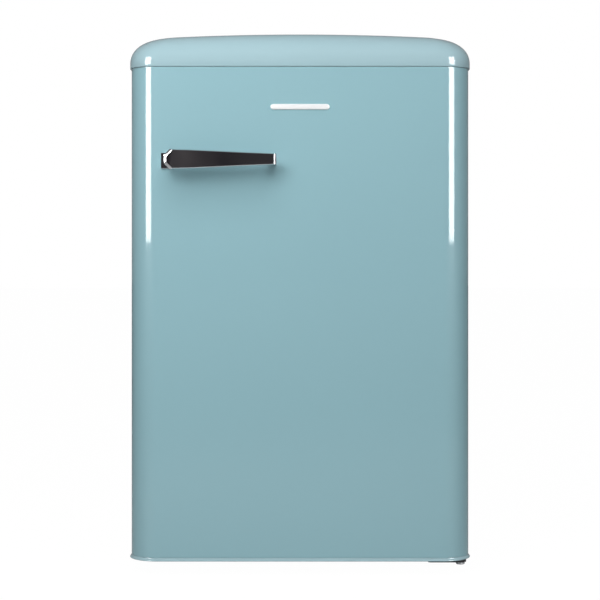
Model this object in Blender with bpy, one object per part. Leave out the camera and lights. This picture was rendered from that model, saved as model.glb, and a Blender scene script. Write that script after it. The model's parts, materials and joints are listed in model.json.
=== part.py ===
"""Retro under-counter refrigerator: one door under a domed top cover, with an ice box inside.

Metres, +Z up. The front faces -Y, the door hangs on +X, and the floor is Z = 0.
The origin is on the floor, midway between the sides and between handle and condenser.
"""

import math

import bmesh
import bpy
from mathutils import Matrix, Vector

# ---------------------------------------------------------------- driving sizes
HEIGHT = 0.870
BODY_WIDTH = 0.545
HANDLE_REACH = 0.045
DOOR_THICKNESS = 0.056
SEAL_GAP = 0.012
CABINET_DEPTH = 0.462
REAR_REACH = 0.040

FIT = 0.0003
RUN = 0.0018
FOOT_HEIGHT = 0.022
SHEET = 0.001
FLANGE_WIDTH = 0.036
SIDE_WALL = 0.040
TOP_WALL = 0.040
BACK_WALL = 0.045
FLOOR_WALL = 0.045
STEP_WALL = 0.040
LINER = 0.002
DRAFT = 0.004
BAY_DEPTH = 0.155
BAY_HEIGHT = 0.223

LID_HEIGHT = 0.0567
LID_OVERHANG = 0.0025
LID_WALL = 0.0020
LID_LAP = 0.0065
LID_STRAIGHT = 0.0087
LID_SIDE_ROUND = 0.044
LID_FRONT_ROUND = 0.056
LID_REAR_ROUND = 0.014
LID_CROWN = 0.010

DOOR_RADIUS = 0.045
DOOR_LINER = 0.0015
CAP_HEIGHT = 0.016
CAP_LIP = 0.0055
CAP_FLARE = 0.0024
RIDGE_CLEARANCE = 0.0145
RIDGE_DEPTH = 0.035
RIDGE_WIDTH = 0.028
RECESS_DEPTH = 0.004
GASKET_WIDTH = 0.014
SEAL_INSET = 0.020

HINGE_INSET_X = 0.014
HINGE_INSET_Y = 0.032
HINGE_PLATE = 0.004
HINGE_PIN_RADIUS = 0.004
HINGE_ENGAGEMENT = 0.012
HINGE_PLATE_WIDTH = 0.062
HINGE_PLATE_LAP = 0.055

HANDLE_LENGTH = 0.177
HANDLE_INSET = 0.0585
HANDLE_DROP = 0.150
HANDLE_THICKNESS = 0.012
HANDLE_TALL_END = 0.032
HANDLE_SHORT_END = 0.018
HANDLE_CUT = 0.010
HANDLE_LEG = 0.015

ICE_BOX_HEIGHT = 0.148
ICE_BOX_WALL = 0.002
ICE_BOX_SIDE_GAP = 0.0175
ICE_DOOR_THICKNESS = 0.012
BALCONY_REACH = 0.101
BALCONY_HEIGHT = 0.058
BOTTLE_BALCONY_HEIGHT = 0.092
SHELF_GAP = 0.0165
GLASS = 0.004
SHELF_COUNT = 2
CRISPER_GAP = 0.010
FOOT_RADIUS = 0.017
STUD_RADIUS = 0.004
CONDENSER_PITCH = 0.040
CONDENSER_RADIUS = 0.0025
WIRE = 0.0016

# ---------------------------------------------------------------- planes worked out from them
HALF_WIDTH = BODY_WIDTH / 2
HANDLE_FRONT = -(HANDLE_REACH + DOOR_THICKNESS + SEAL_GAP + CABINET_DEPTH + REAR_REACH) / 2
DOOR_FRONT = HANDLE_FRONT + HANDLE_REACH
DOOR_BACK = DOOR_FRONT + DOOR_THICKNESS
CABINET_FRONT = DOOR_BACK + SEAL_GAP
CABINET_BACK = CABINET_FRONT + CABINET_DEPTH
REAR = CABINET_BACK + REAR_REACH

BASE = FOOT_HEIGHT
LID_BOTTOM = HEIGHT - LID_HEIGHT
CABINET_TOP = LID_BOTTOM + LID_LAP
DOOR_BOTTOM = BASE - FIT + RUN
DOOR_TOP = LID_BOTTOM - RUN
FLOOR_PLATE_TOP = BASE + 1.5 * SHEET

CAVITY_X = HALF_WIDTH - SIDE_WALL
CAVITY_FLOOR = BASE + FLOOR_WALL
CAVITY_CEILING = CABINET_TOP - TOP_WALL
CAVITY_BACK = CABINET_BACK - BACK_WALL
BAY_FRONT = CABINET_BACK - BAY_DEPTH
BAY_TOP = BASE + BAY_HEIGHT
STEP_FRONT = BAY_FRONT - STEP_WALL
STEP_TOP = BAY_TOP + STEP_WALL
INNER_X = HALF_WIDTH - SHEET - FIT
EDGE_RADIUS = min(DOOR_RADIUS, DOOR_THICKNESS - 0.007)

PIVOT = Vector((HALF_WIDTH - HINGE_INSET_X, DOOR_FRONT + HINGE_INSET_Y, 0))
RIDGE_X = CAVITY_X - RIDGE_CLEARANCE
RIDGE_BOTTOM = CAVITY_FLOOR + RIDGE_CLEARANCE
RIDGE_TOP = CAVITY_CEILING - RIDGE_CLEARANCE
RECESS = DOOR_BACK + RECESS_DEPTH
BALCONY_BACK = RECESS + BALCONY_REACH
SHELF_FRONT = BALCONY_BACK + SHELF_GAP
ICE_BOX_X = CAVITY_X - ICE_BOX_SIDE_GAP
ICE_BOX_TOP = CAVITY_CEILING - 0.005
ICE_BOX_BOTTOM = ICE_BOX_TOP - ICE_BOX_HEIGHT
ICE_DOOR_FRONT = BALCONY_BACK + 0.012
ICE_BOX_FRONT = ICE_DOOR_FRONT + ICE_DOOR_THICKNESS + 0.0015
ICE_PIVOT = Vector((ICE_BOX_X - 0.007, ICE_DOOR_FRONT + ICE_DOOR_THICKNESS / 2, 0))

# ---------------------------------------------------------------- places that several pieces share
LID_SPAN = 8
LID_RISE = LID_HEIGHT - LID_STRAIGHT - LID_CROWN
RAIL_WIDTH = 0.010
STUD_TOP = BASE + 0.022
FRONT_FOOT_X = HALF_WIDTH - 0.0475
FRONT_FOOT_Y = CABINET_FRONT + 0.0765
REAR_FOOT_X = HALF_WIDTH - 0.0475
REAR_FOOT_Y = CABINET_BACK - 0.032
GROMMET_HEIGHT = 0.022
COMPRESSOR_HALF = (0.078, 0.058)
COMPRESSOR_X = 0.030
COMPRESSOR_Y = BAY_FRONT + 0.012 + 0.075
SUCTION_X, SUCTION_Y = COMPRESSOR_X + 0.060, BAY_FRONT + 0.012
DRIER = Vector((-HALF_WIDTH + 0.085, COMPRESSOR_Y + 0.030, BASE + 0.105))
HANDLE_LEFT = -HALF_WIDTH + HANDLE_INSET
HANDLE_RIGHT = HANDLE_LEFT + HANDLE_LENGTH
HANDLE_Z = DOOR_TOP - HANDLE_DROP
HANDLE_SCREWS = (HANDLE_LEFT + 0.003, HANDLE_RIGHT - 0.007)
SCREW_LENGTH = 0.012
HINGE_SCREWS = [(PIVOT.x - d, CABINET_FRONT + HINGE_PLATE_LAP - 0.009) for d in (0.036, 0.004)]
CONTROL_HEIGHT = 0.056
CONTROL_BOTTOM = ICE_BOX_BOTTOM - 0.022 - CONTROL_HEIGHT
COVER_Z = STEP_TOP + 0.0025
TOP_SHELF_Z = CONTROL_BOTTOM - 0.022
SHELF_STEP = (TOP_SHELF_Z - COVER_Z) / SHELF_COUNT
SHELF_LEVELS = [COVER_Z + SHELF_STEP * i for i in range(SHELF_COUNT + 1)]
BALCONY_X = RIDGE_X - RIDGE_WIDTH - 0.0035
LOW_BALCONY_Z = RIDGE_BOTTOM + RIDGE_WIDTH + 0.024
HIGH_BALCONY_Z = ICE_BOX_BOTTOM - BALCONY_HEIGHT
BALCONIES = (
    ("bottle_balcony", LOW_BALCONY_Z, BOTTLE_BALCONY_HEIGHT),
    ("middle_balcony", (LOW_BALCONY_Z + HIGH_BALCONY_Z) / 2 + 0.02, BALCONY_HEIGHT),
    ("upper_balcony", HIGH_BALCONY_Z, BALCONY_HEIGHT),
)

# ---------------------------------------------------------------- finishes: colour, roughness, metallic
FINISHES = {
    "teal_paint": ((0.27, 0.50, 0.54), 0.12, 0.0),
    "chrome": ((0.62, 0.62, 0.64), 0.06, 1.0),
    "white_plastic": ((0.82, 0.84, 0.84), 0.35, 0.0),
    "clear_plastic": ((0.78, 0.86, 0.88), 0.12, 0.0),
    "glass": ((0.75, 0.88, 0.84), 0.03, 0.0),
    "grey_rubber": ((0.55, 0.56, 0.56), 0.7, 0.0),
    "black_rubber": ((0.03, 0.03, 0.03), 0.8, 0.0),
    "black_steel": ((0.025, 0.025, 0.028), 0.4, 0.0),
    "zinc_steel": ((0.55, 0.56, 0.57), 0.4, 1.0),
    "copper": ((0.72, 0.36, 0.22), 0.3, 1.0),
    "foam": ((0.80, 0.68, 0.40), 0.95, 0.0),
    "dark_plastic": ((0.05, 0.05, 0.055), 0.5, 0.0),
    "milky_plastic": ((0.88, 0.87, 0.80), 0.3, 0.0),
}


def finish(name):
    """The shared material of that finish."""
    if name in bpy.data.materials:
        return bpy.data.materials[name]
    colour, roughness, metallic = FINISHES[name]
    material = bpy.data.materials.new(name)
    material.use_nodes = True
    shader = material.node_tree.nodes["Principled BSDF"]
    shader.inputs["Base Color"].default_value = (*colour, 1)
    shader.inputs["Roughness"].default_value = roughness
    shader.inputs["Metallic"].default_value = metallic
    return material


# ---------------------------------------------------------------- building blocks
def plan(u, v, w):
    """An outline in X and Y, placed at height w."""
    return Vector((u, v, w))


def front(u, v, w):
    """An outline in X and Z, placed at depth w."""
    return Vector((u, w, v))


def side(u, v, w):
    """An outline in Y and Z, placed at w along X."""
    return Vector((w, u, v))


def add_object(name, bm, material, smooth_angle=None):
    bmesh.ops.recalc_face_normals(bm, faces=bm.faces)
    mesh = bpy.data.meshes.new(name)
    bm.to_mesh(mesh)
    bm.free()
    mesh.materials.append(finish(material))
    if smooth_angle:
        mesh.shade_smooth()
        mesh.set_sharp_from_angle(angle=math.radians(smooth_angle))
    obj = bpy.data.objects.new(name, mesh)
    bpy.context.scene.collection.objects.link(obj)
    return obj


def loft(name, rings, material, smooth_angle=35):
    """One closed body through rings of equal length, with a face over the first and the last."""
    bm = bmesh.new()
    rows = [[bm.verts.new(point) for point in ring] for ring in rings]
    for low, high in zip(rows, rows[1:]):
        for i in range(len(low)):
            j = (i + 1) % len(low)
            bm.faces.new((low[i], low[j], high[j], high[i]))
    bm.faces.new(rows[0][::-1])
    bm.faces.new(rows[-1])
    return add_object(name, bm, material, smooth_angle)


def prism(name, outline, place, start, end, material):
    """A flat outline extruded from start to end along the direction that it faces."""
    bm = bmesh.new()
    face = bm.faces.new([bm.verts.new(place(u, v, start)) for u, v in outline])
    made = bmesh.ops.extrude_face_region(bm, geom=[face])["geom"]
    moved = [item for item in made if isinstance(item, bmesh.types.BMVert)]
    bmesh.ops.translate(bm, verts=moved, vec=place(0, 0, end) - place(0, 0, start))
    return add_object(name, bm, material)


def block(name, low, high, material, bevel=0.0, segments=1):
    """A box between two corners, with its edges bevelled if asked."""
    bm = bmesh.new()
    size = Vector(high) - Vector(low)
    centre = (Vector(high) + Vector(low)) / 2
    bmesh.ops.create_cube(bm, size=1, matrix=Matrix.Translation(centre) @ Matrix.Diagonal((*size, 1)))
    if bevel:
        bmesh.ops.bevel(bm, geom=bm.edges[:], offset=bevel, segments=segments, profile=0.5,
                        affect="EDGES", material=-1)
    return add_object(name, bm, material)


def turned(name, centre, profile, material, place=plan, sides=12):
    """A round body about an axis through centre: profile holds (distance along the axis, radius)."""
    rings = []
    for along, radius in profile:
        turn = [math.tau * (i + 0.5) / sides for i in range(sides)]
        rings.append([Vector(centre) + place(radius * math.cos(a), radius * math.sin(a), along)
                      for a in turn])
    return loft(name, rings, material)


def rounded_rect(u0, u1, v0, v1, radii, steps=4):
    """Outline of a rectangle; radii are for the corners (u0,v0), (u1,v0), (u1,v1), (u0,v1)."""
    radii = radii if isinstance(radii, (list, tuple)) else [radii] * 4
    corners = ((u0, v0, 1, 1, 180), (u1, v0, -1, 1, 270), (u1, v1, -1, -1, 0), (u0, v1, 1, -1, 90))
    points = []
    for (u, v, su, sv, start), radius in zip(corners, radii):
        if radius <= 0:
            points.append((u, v))
            continue
        for i in range(steps + 1):
            angle = math.radians(start + 90 * i / steps)
            points.append((u + su * radius + radius * math.cos(angle),
                           v + sv * radius + radius * math.sin(angle)))
    return points


def ring(outline, place, w):
    return [place(u, v, w) for u, v in outline]


def helper(obj):
    """Marks an object as a tool for a Boolean, which the model leaves out."""
    obj.hide_render = True
    obj.display_type = "WIRE"
    return obj


def boolean(obj, tool, operation):
    modifier = obj.modifiers.new(f"{operation.lower()}_{tool.name}", "BOOLEAN")
    modifier.operation = operation
    modifier.solver = "EXACT"
    modifier.object = helper(tool)
    return obj


def drill(obj, centre, radius, depth, place=plan, sides=16):
    """A round hole along the axis of place, depth long either side of centre."""
    cutter = turned(f"{obj.name}_drill_{len(obj.modifiers)}", centre,
                    [(-depth, radius), (depth, radius)], "zinc_steel", place, sides)
    return boolean(obj, cutter, "DIFFERENCE")


def tube(name, points, radius, material, sides_half=2, cyclic=False):
    """A round tube along a polyline, closed by flat ends."""
    curve = bpy.data.curves.new(name, "CURVE")
    curve.dimensions = "3D"
    curve.bevel_depth = radius
    curve.bevel_resolution = sides_half
    curve.use_fill_caps = True
    spline = curve.splines.new("POLY")
    spline.points.add(len(points) - 1)
    for spot, point in zip(spline.points, points):
        spot.co = (*point, 1)
    spline.use_cyclic_u = cyclic
    curve.materials.append(finish(material))
    obj = bpy.data.objects.new(name, curve)
    bpy.context.scene.collection.objects.link(obj)
    return obj


def rounded_path(points, radius, steps=4):
    """A polyline whose inner corners are arcs of that radius."""
    path = [Vector(points[0])]
    for before, corner, after in zip(points, points[1:], points[2:]):
        before, corner, after = Vector(before), Vector(corner), Vector(after)
        inward, outward = (before - corner).normalized(), (after - corner).normalized()
        half = inward.angle(outward) / 2
        reach = radius / math.tan(half)
        middle = corner + (inward + outward).normalized() * (radius / math.sin(half))
        start, end = corner + inward * reach - middle, corner + outward * reach - middle
        path += [middle + start.slerp(end, i / steps).normalized() * radius for i in range(steps + 1)]
    return path + [Vector(points[-1])]


def turn_on(name, location, *pieces):
    """An empty on a joint's axis that carries the pieces moving about it."""
    axis = bpy.data.objects.new(name, None)
    axis.location = location
    bpy.context.scene.collection.objects.link(axis)
    bpy.context.view_layer.update()
    for piece in pieces:
        piece.parent = axis
        piece.matrix_parent_inverse = axis.matrix_world.inverted()
    return axis


# ---------------------------------------------------------------- cabinet
def cabinet_wrap():
    """Painted sheet over both sides and the top, folded in at the front for the magnetic seal."""
    section = ((0, CABINET_FRONT), (0, CABINET_BACK), (SHEET, CABINET_BACK), (SHEET, CABINET_FRONT + SHEET),
               (FLANGE_WIDTH, CABINET_FRONT + SHEET), (FLANGE_WIDTH, CABINET_FRONT))
    rings = []
    for sign, high in ((-1, False), (-1, True), (1, True), (1, False)):
        rings.append([Vector((sign * (HALF_WIDTH - d), y, CABINET_TOP - d if high else BASE))
                      for d, y in section])
    wrap = loft("cabinet_wrap", rings, "teal_paint")
    for x, y in HINGE_SCREWS:
        drill(wrap, (x, y, CABINET_TOP), 0.0025, 0.005, sides=12)


def cabinet_base():
    """Floor plate with the front upstand that the lower run of the seal closes on."""
    plate = block("cabinet_base", (-INNER_X, CABINET_FRONT + SHEET + FIT, BASE),
                  (INNER_X, BAY_FRONT - SHEET - FIT, FLOOR_PLATE_TOP), "zinc_steel")
    upstand_x = HALF_WIDTH - FLANGE_WIDTH - FIT
    upstand = block("base_upstand", (-upstand_x, CABINET_FRONT, BASE),
                    (upstand_x, CABINET_FRONT + 2 * SHEET, CAVITY_FLOOR - 2 * LINER), "zinc_steel")
    boolean(plate, upstand, "UNION")
    for sign in (-1, 1):
        drill(plate, (sign * FRONT_FOOT_X, FRONT_FOOT_Y, BASE), STUD_RADIUS + 0.0005, 0.01)
    for x, y in HINGE_SCREWS:
        drill(plate, (x, y, BASE), 0.0025, 0.01, sides=12)


def rear_panels():
    """Back sheet above the machine bay, and the folded sheet that lines the bay."""
    block("back_panel", (-INNER_X, CABINET_BACK - SHEET, BAY_TOP + SHEET + FIT),
          (INNER_X, CABINET_BACK, CABINET_TOP - SHEET - FIT), "zinc_steel")
    outline = [(BAY_FRONT - SHEET, BASE), (BAY_FRONT, BASE), (BAY_FRONT, BAY_TOP),
               (CABINET_BACK - FIT, BAY_TOP), (CABINET_BACK - FIT, BAY_TOP + SHEET),
               (BAY_FRONT - SHEET, BAY_TOP + SHEET)]
    bay = prism("bay_panel", outline, side, -INNER_X, INNER_X, "zinc_steel")
    drill(bay, (SUCTION_X, SUCTION_Y, BAY_TOP), 0.0045, 0.01, sides=12)


def cabinet_foam():
    """Poured insulation: fills the space between the outer sheets and the liner."""
    low, high = FLOOR_PLATE_TOP + FIT, CABINET_TOP - SHEET - FIT
    bay = BAY_TOP + SHEET + FIT
    face = CABINET_FRONT + LINER + FIT
    skin = LINER + FIT
    stations = (
        (CABINET_BACK - SHEET - FIT, INNER_X - FIT, bay, high),
        (BAY_FRONT - SHEET - FIT, INNER_X - FIT, bay, high),
        (BAY_FRONT - SHEET - FIT - DRAFT, INNER_X - FIT, low, high),
        (face, INNER_X - FIT, low, high),
        (face, CAVITY_X + skin, CAVITY_FLOOR - skin, CAVITY_CEILING + skin),
        (STEP_FRONT + skin, CAVITY_X + skin, CAVITY_FLOOR - skin, CAVITY_CEILING + skin),
        (STEP_FRONT + skin + DRAFT, CAVITY_X + skin, STEP_TOP - skin, CAVITY_CEILING + skin),
        (CAVITY_BACK + skin, CAVITY_X + skin, STEP_TOP - skin, CAVITY_CEILING + skin),
    )
    rings = [ring(rounded_rect(-x, x, z0, z1, 0), front, y) for y, x, z0, z1 in stations]
    foam = loft("cabinet_foam", rings, "foam")
    for sign in (-1, 1):
        drill(foam, (sign * FRONT_FOOT_X, FRONT_FOOT_Y, BASE), STUD_RADIUS + 0.0005, STUD_TOP - BASE + 0.002)
    for x, y in HINGE_SCREWS:
        for z in (BASE, CABINET_TOP):
            drill(foam, (x, y, z), 0.0025, SCREW_LENGTH, sides=12)


def inner_liner():
    """Vacuum-formed white liner with a step over the machine bay and rails for the shelves."""
    lip_x = HALF_WIDTH - FLANGE_WIDTH - FIT
    lip_low, lip_high = CAVITY_FLOOR - 2 * LINER + FIT, CABINET_TOP - FLANGE_WIDTH - FIT
    corner = 0.012
    stations = (
        (CAVITY_BACK + LINER, CAVITY_X + LINER, STEP_TOP - LINER, CAVITY_CEILING + LINER),
        (STEP_FRONT + LINER + DRAFT, CAVITY_X + LINER, STEP_TOP - LINER, CAVITY_CEILING + LINER),
        (STEP_FRONT + LINER, CAVITY_X + LINER, CAVITY_FLOOR - LINER, CAVITY_CEILING + LINER),
        (CABINET_FRONT + LINER, CAVITY_X + LINER, CAVITY_FLOOR - LINER, CAVITY_CEILING + LINER),
        (CABINET_FRONT + LINER, lip_x, lip_low, lip_high),
        (CABINET_FRONT, lip_x, lip_low, lip_high),
        (CABINET_FRONT, CAVITY_X, CAVITY_FLOOR, CAVITY_CEILING),
        (STEP_FRONT, CAVITY_X, CAVITY_FLOOR, CAVITY_CEILING),
        (STEP_FRONT + DRAFT, CAVITY_X, STEP_TOP, CAVITY_CEILING),
        (CAVITY_BACK, CAVITY_X, STEP_TOP, CAVITY_CEILING),
    )
    rings = [ring(rounded_rect(-x, x, z0, z1, corner), front, y) for y, x, z0, z1 in stations]
    liner = loft("inner_liner", rings, "white_plastic")
    for level, z in enumerate(SHELF_LEVELS):
        for sign in (-1, 1):
            inner, outer = sign * (CAVITY_X - RAIL_WIDTH), sign * (CAVITY_X + LINER / 2)
            rail = block(f"liner_rail_{level}_{'left' if sign < 0 else 'right'}",
                         (min(inner, outer), SHELF_FRONT + 0.01, z - FIT - 0.012),
                         (max(inner, outer), CAVITY_BACK - 0.02 if level else STEP_FRONT + 0.002, z - FIT),
                         "white_plastic", 0.0015)
            boolean(liner, rail, "UNION")


def lid_ring(turn, raised, inset, drop):
    """Outline of the top cover at that turn of its rounded edge: 0 at the skirt and 1 at the crown."""
    angle = math.radians(90 * turn)
    rise, fall = math.sin(angle), 1 - math.cos(angle)
    half = HALF_WIDTH + LID_OVERHANG - inset
    face, back = DOOR_FRONT - 0.001 + inset, CABINET_BACK + LID_OVERHANG - inset
    radii = (EDGE_RADIUS + LID_OVERHANG - inset, 0.0008 if inset else 0.004)
    corner = 5
    outline = []
    for index, (radius, edge) in enumerate(zip(radii, (face, back))):
        sign = 1 if index == 0 else -1
        reach = half - radius
        middle = edge + sign * radius
        first = [(-reach - radius * math.cos(a), middle - sign * radius * math.sin(a))
                 for a in (math.radians(90 * i / corner) for i in range(corner + 1))]
        span = [(-reach + 2 * reach * i / LID_SPAN, edge) for i in range(1, LID_SPAN)]
        last = [(-u, v) for u, v in reversed(first)]
        run = first + span + last
        outline += run if index == 0 else run[::-1]
    narrow = 1 - LID_SIDE_ROUND * fall / half
    new_face = face + LID_FRONT_ROUND * fall
    shallow = (back - LID_REAR_ROUND * fall - new_face) / (back - face)
    level = LID_BOTTOM + (LID_STRAIGHT if raised else 0) + LID_RISE * rise - drop
    points = [(u * narrow, new_face + (v - face) * shallow) for u, v in outline]
    return [Vector((u, v, level + LID_CROWN * rise * (1 - (u / half) ** 2))) for u, v in points]


def top_cover():
    """Domed top cover: a shell with a sloping front, crowned across its width."""
    turns = ((1, True), (0.8, True), (0.6, True), (0.4, True), (0.2, True), (0, True), (0, False))
    outer = [lid_ring(turn, raised, 0, 0) for turn, raised in reversed(turns)]
    inner = [lid_ring(turn, raised, LID_WALL, LID_WALL * turn) for turn, raised in turns]
    bm = bmesh.new()
    rows = [[bm.verts.new(point) for point in each] for each in inner + outer]
    count = len(rows[0])
    for low, high in zip(rows, rows[1:]):
        for i in range(count):
            bm.faces.new((low[i], low[(i + 1) % count], high[(i + 1) % count], high[i]))
    half = count // 2
    for row in (rows[0], rows[-1]):
        for i in range(half - 1):
            bm.faces.new((row[i], row[i + 1], row[count - 2 - i], row[count - 1 - i]))
    add_object("top_cover", bm, "teal_paint", 35)


def cover_underplate():
    """Closes the top cover from below where it stands out over the door."""
    reach = HALF_WIDTH + LID_OVERHANG - LID_WALL - 0.0012
    radius = EDGE_RADIUS + LID_OVERHANG - LID_WALL - 0.0012
    outline = rounded_rect(-reach, reach, DOOR_FRONT + LID_WALL + 0.002, CABINET_FRONT - FIT,
                           (radius, radius, 0, 0), 5)
    plate = prism("cover_underplate", outline, plan, LID_BOTTOM + 0.0005, LID_BOTTOM + 0.0025,
                  "white_plastic")
    drill(plate, PIVOT + Vector((0, 0, LID_BOTTOM)), HINGE_PIN_RADIUS + 0.003, 0.01, sides=12)


# ---------------------------------------------------------------- door hinges and feet
def hinge_plate_outline():
    right = PIVOT.x + 0.0095
    return rounded_rect(right - HINGE_PLATE_WIDTH, right, PIVOT.y - 0.010,
                        CABINET_FRONT + HINGE_PLATE_LAP, (0.004, 0.010, 0.004, 0.004), 3)


def screw(name, head_at, up):
    """A domed screw with its head at head_at and its shank running up, or down where up is -1."""
    head, radius, shank = 0.0024, 0.0045, 0.002
    return turned(name, head_at, [(-up * head, 0.55 * radius), (-up * 0.4 * head, radius), (0, radius),
                                  (0.00005 * up, shank), (up * SCREW_LENGTH, shank)], "zinc_steel")


def door_hinges():
    """Plates and pins above and below the door, with their screws."""
    pin, clear = HINGE_PIN_RADIUS, HINGE_PIN_RADIUS + FIT
    head = pin + 0.003
    low_plate = BASE - FIT
    lower = prism("lower_hinge_plate", hinge_plate_outline(), plan, low_plate - HINGE_PLATE, low_plate,
                  "black_steel")
    drill(lower, PIVOT + Vector((0, 0, low_plate)), clear, 0.01)
    under = low_plate - HINGE_PLATE - FIT
    turned("lower_hinge_pin", PIVOT, [(under - 0.004, 0.75 * head), (under - 0.003, head), (under, head),
                                      (under + 0.00005, pin),
                                      (DOOR_BOTTOM + HINGE_ENGAGEMENT, pin)], "zinc_steel", sides=16)
    high_plate = CABINET_TOP + FIT
    upper = prism("upper_hinge_plate", hinge_plate_outline(), plan, high_plate, high_plate + HINGE_PLATE,
                  "zinc_steel")
    drill(upper, PIVOT + Vector((0, 0, high_plate)), clear, 0.01)
    over = high_plate + HINGE_PLATE + FIT
    turned("upper_hinge_pin", PIVOT, [(DOOR_TOP - HINGE_ENGAGEMENT, pin), (over - 0.00005, pin),
                                      (over, head), (over + 0.004, head), (over + 0.005, 0.75 * head)],
           "zinc_steel", sides=16)
    for index, (x, y) in enumerate(HINGE_SCREWS):
        drill(upper, (x, y, high_plate), 0.0025, 0.01, sides=12)
        drill(lower, (x, y, low_plate), 0.0025, 0.01, sides=12)
        screw(f"upper_hinge_screw_{index + 1}", (x, y, over), -1)
        screw(f"lower_hinge_screw_{index + 1}", (x, y, under), 1)


def levelling_feet():
    """Front feet screwed up into the cabinet, and fixed rear feet under the machine plate."""
    for name, sign in (("front_foot_left", -1), ("front_foot_right", 1)):
        centre = Vector((sign * FRONT_FOOT_X, FRONT_FOOT_Y, 0))
        pad = BASE - 4 * FIT
        foot = turned(name, centre, [(0, FOOT_RADIUS), (0.006, FOOT_RADIUS), (pad - 0.004, 0.7 * FOOT_RADIUS),
                                     (pad, 0.7 * FOOT_RADIUS), (pad + 0.0001, STUD_RADIUS),
                                     (STUD_TOP, STUD_RADIUS)], "dark_plastic", sides=16)
        turn_on(f"{name}_axis", centre, foot)
    for name, sign in (("rear_foot_left", -1), ("rear_foot_right", 1)):
        turned(name, (sign * REAR_FOOT_X, REAR_FOOT_Y, 0),
               [(0, FOOT_RADIUS), (0.006, FOOT_RADIUS), (BASE - FIT, 0.75 * FOOT_RADIUS)],
               "dark_plastic", sides=16)


# ---------------------------------------------------------------- machine bay
def machine_bay():
    """Mounting plate, compressor on four rubber grommets, start relay, drier and drip tray."""
    back, face = CABINET_BACK - 0.002, BAY_FRONT + 0.012
    fold, plate = 0.012, 2.5 * SHEET
    outline = [(face, BASE), (back, BASE), (back, BASE + fold), (back - SHEET, BASE + fold),
               (back - SHEET, BASE + plate), (face + SHEET, BASE + plate),
               (face + SHEET, BASE + fold), (face, BASE + fold)]
    prism("machine_plate", outline, side, -INNER_X, INNER_X, "zinc_steel")
    foot_plate = BASE + plate + GROMMET_HEIGHT
    for index, (sx, sy) in enumerate(((-1, -1), (1, -1), (1, 1), (-1, 1))):
        spot = (COMPRESSOR_X + sx * 0.075, COMPRESSOR_Y + sy * 0.042, 0)
        turned(f"compressor_grommet_{index + 1}", spot,
               [(BASE + plate + FIT, 0.011), (BASE + plate + 0.3 * GROMMET_HEIGHT, 0.011),
                (BASE + plate + 0.5 * GROMMET_HEIGHT, 0.008), (foot_plate - FIT, 0.011)],
               "black_rubber")
    levels = ((0.0, 0.62), (0.008, 0.80), (0.024, 0.94), (0.060, 1.0), (0.0602, 1.06), (0.066, 1.06),
              (0.0662, 1.0), (0.105, 0.95), (0.126, 0.80), (0.136, 0.55), (0.139, 0.30))
    rings = []
    for z, share in levels:
        x, y = COMPRESSOR_HALF[0] * share, COMPRESSOR_HALF[1] * share
        outline = rounded_rect(COMPRESSOR_X - x, COMPRESSOR_X + x, COMPRESSOR_Y - y, COMPRESSOR_Y + y,
                               0.82 * y, 4)
        rings.append(ring(outline, plan, foot_plate + z))
    compressor = loft("compressor", rings, "black_steel", 30)
    feet = block("compressor_feet", (COMPRESSOR_X - 0.088, COMPRESSOR_Y - 0.053, foot_plate),
                 (COMPRESSOR_X + 0.088, COMPRESSOR_Y + 0.053, foot_plate + 0.003), "black_steel")
    boolean(compressor, feet, "UNION")

    relay_x = COMPRESSOR_X - COMPRESSOR_HALF[0] * 1.06 - 0.001
    relay = block("start_relay_box", (relay_x - 0.036, COMPRESSOR_Y - 0.028, foot_plate + 0.030),
                  (relay_x, COMPRESSOR_Y + 0.028, foot_plate + 0.092), "dark_plastic", 0.004)
    gland_at = Vector((relay_x - 0.018, COMPRESSOR_Y + 0.026, foot_plate + 0.045))
    gland = turned("relay_gland", gland_at, [(0, 0.008), (0.012, 0.0065)], "dark_plastic", front)
    boolean(relay, gland, "UNION")
    drill(relay, gland_at + Vector((0, 0.012, 0)), 0.0035, 0.012, front, 10)

    tray_z = foot_plate + 0.139 + FIT
    steps = ((0, 0.060, 0.044), (0.026, 0.070, 0.052), (0.026, 0.068, 0.050), (0.002, 0.058, 0.042))
    rings = [ring(rounded_rect(COMPRESSOR_X - x, COMPRESSOR_X + x, COMPRESSOR_Y - y, COMPRESSOR_Y + y,
                               0.012, 3), plan, tray_z + z) for z, x, y in steps]
    loft("evaporation_tray", rings, "dark_plastic")
    turned("filter_drier", DRIER, [(-0.052, 0.0035), (-0.045, 0.009), (0.045, 0.009), (0.052, 0.0035)],
           "copper", sides=12)


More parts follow.
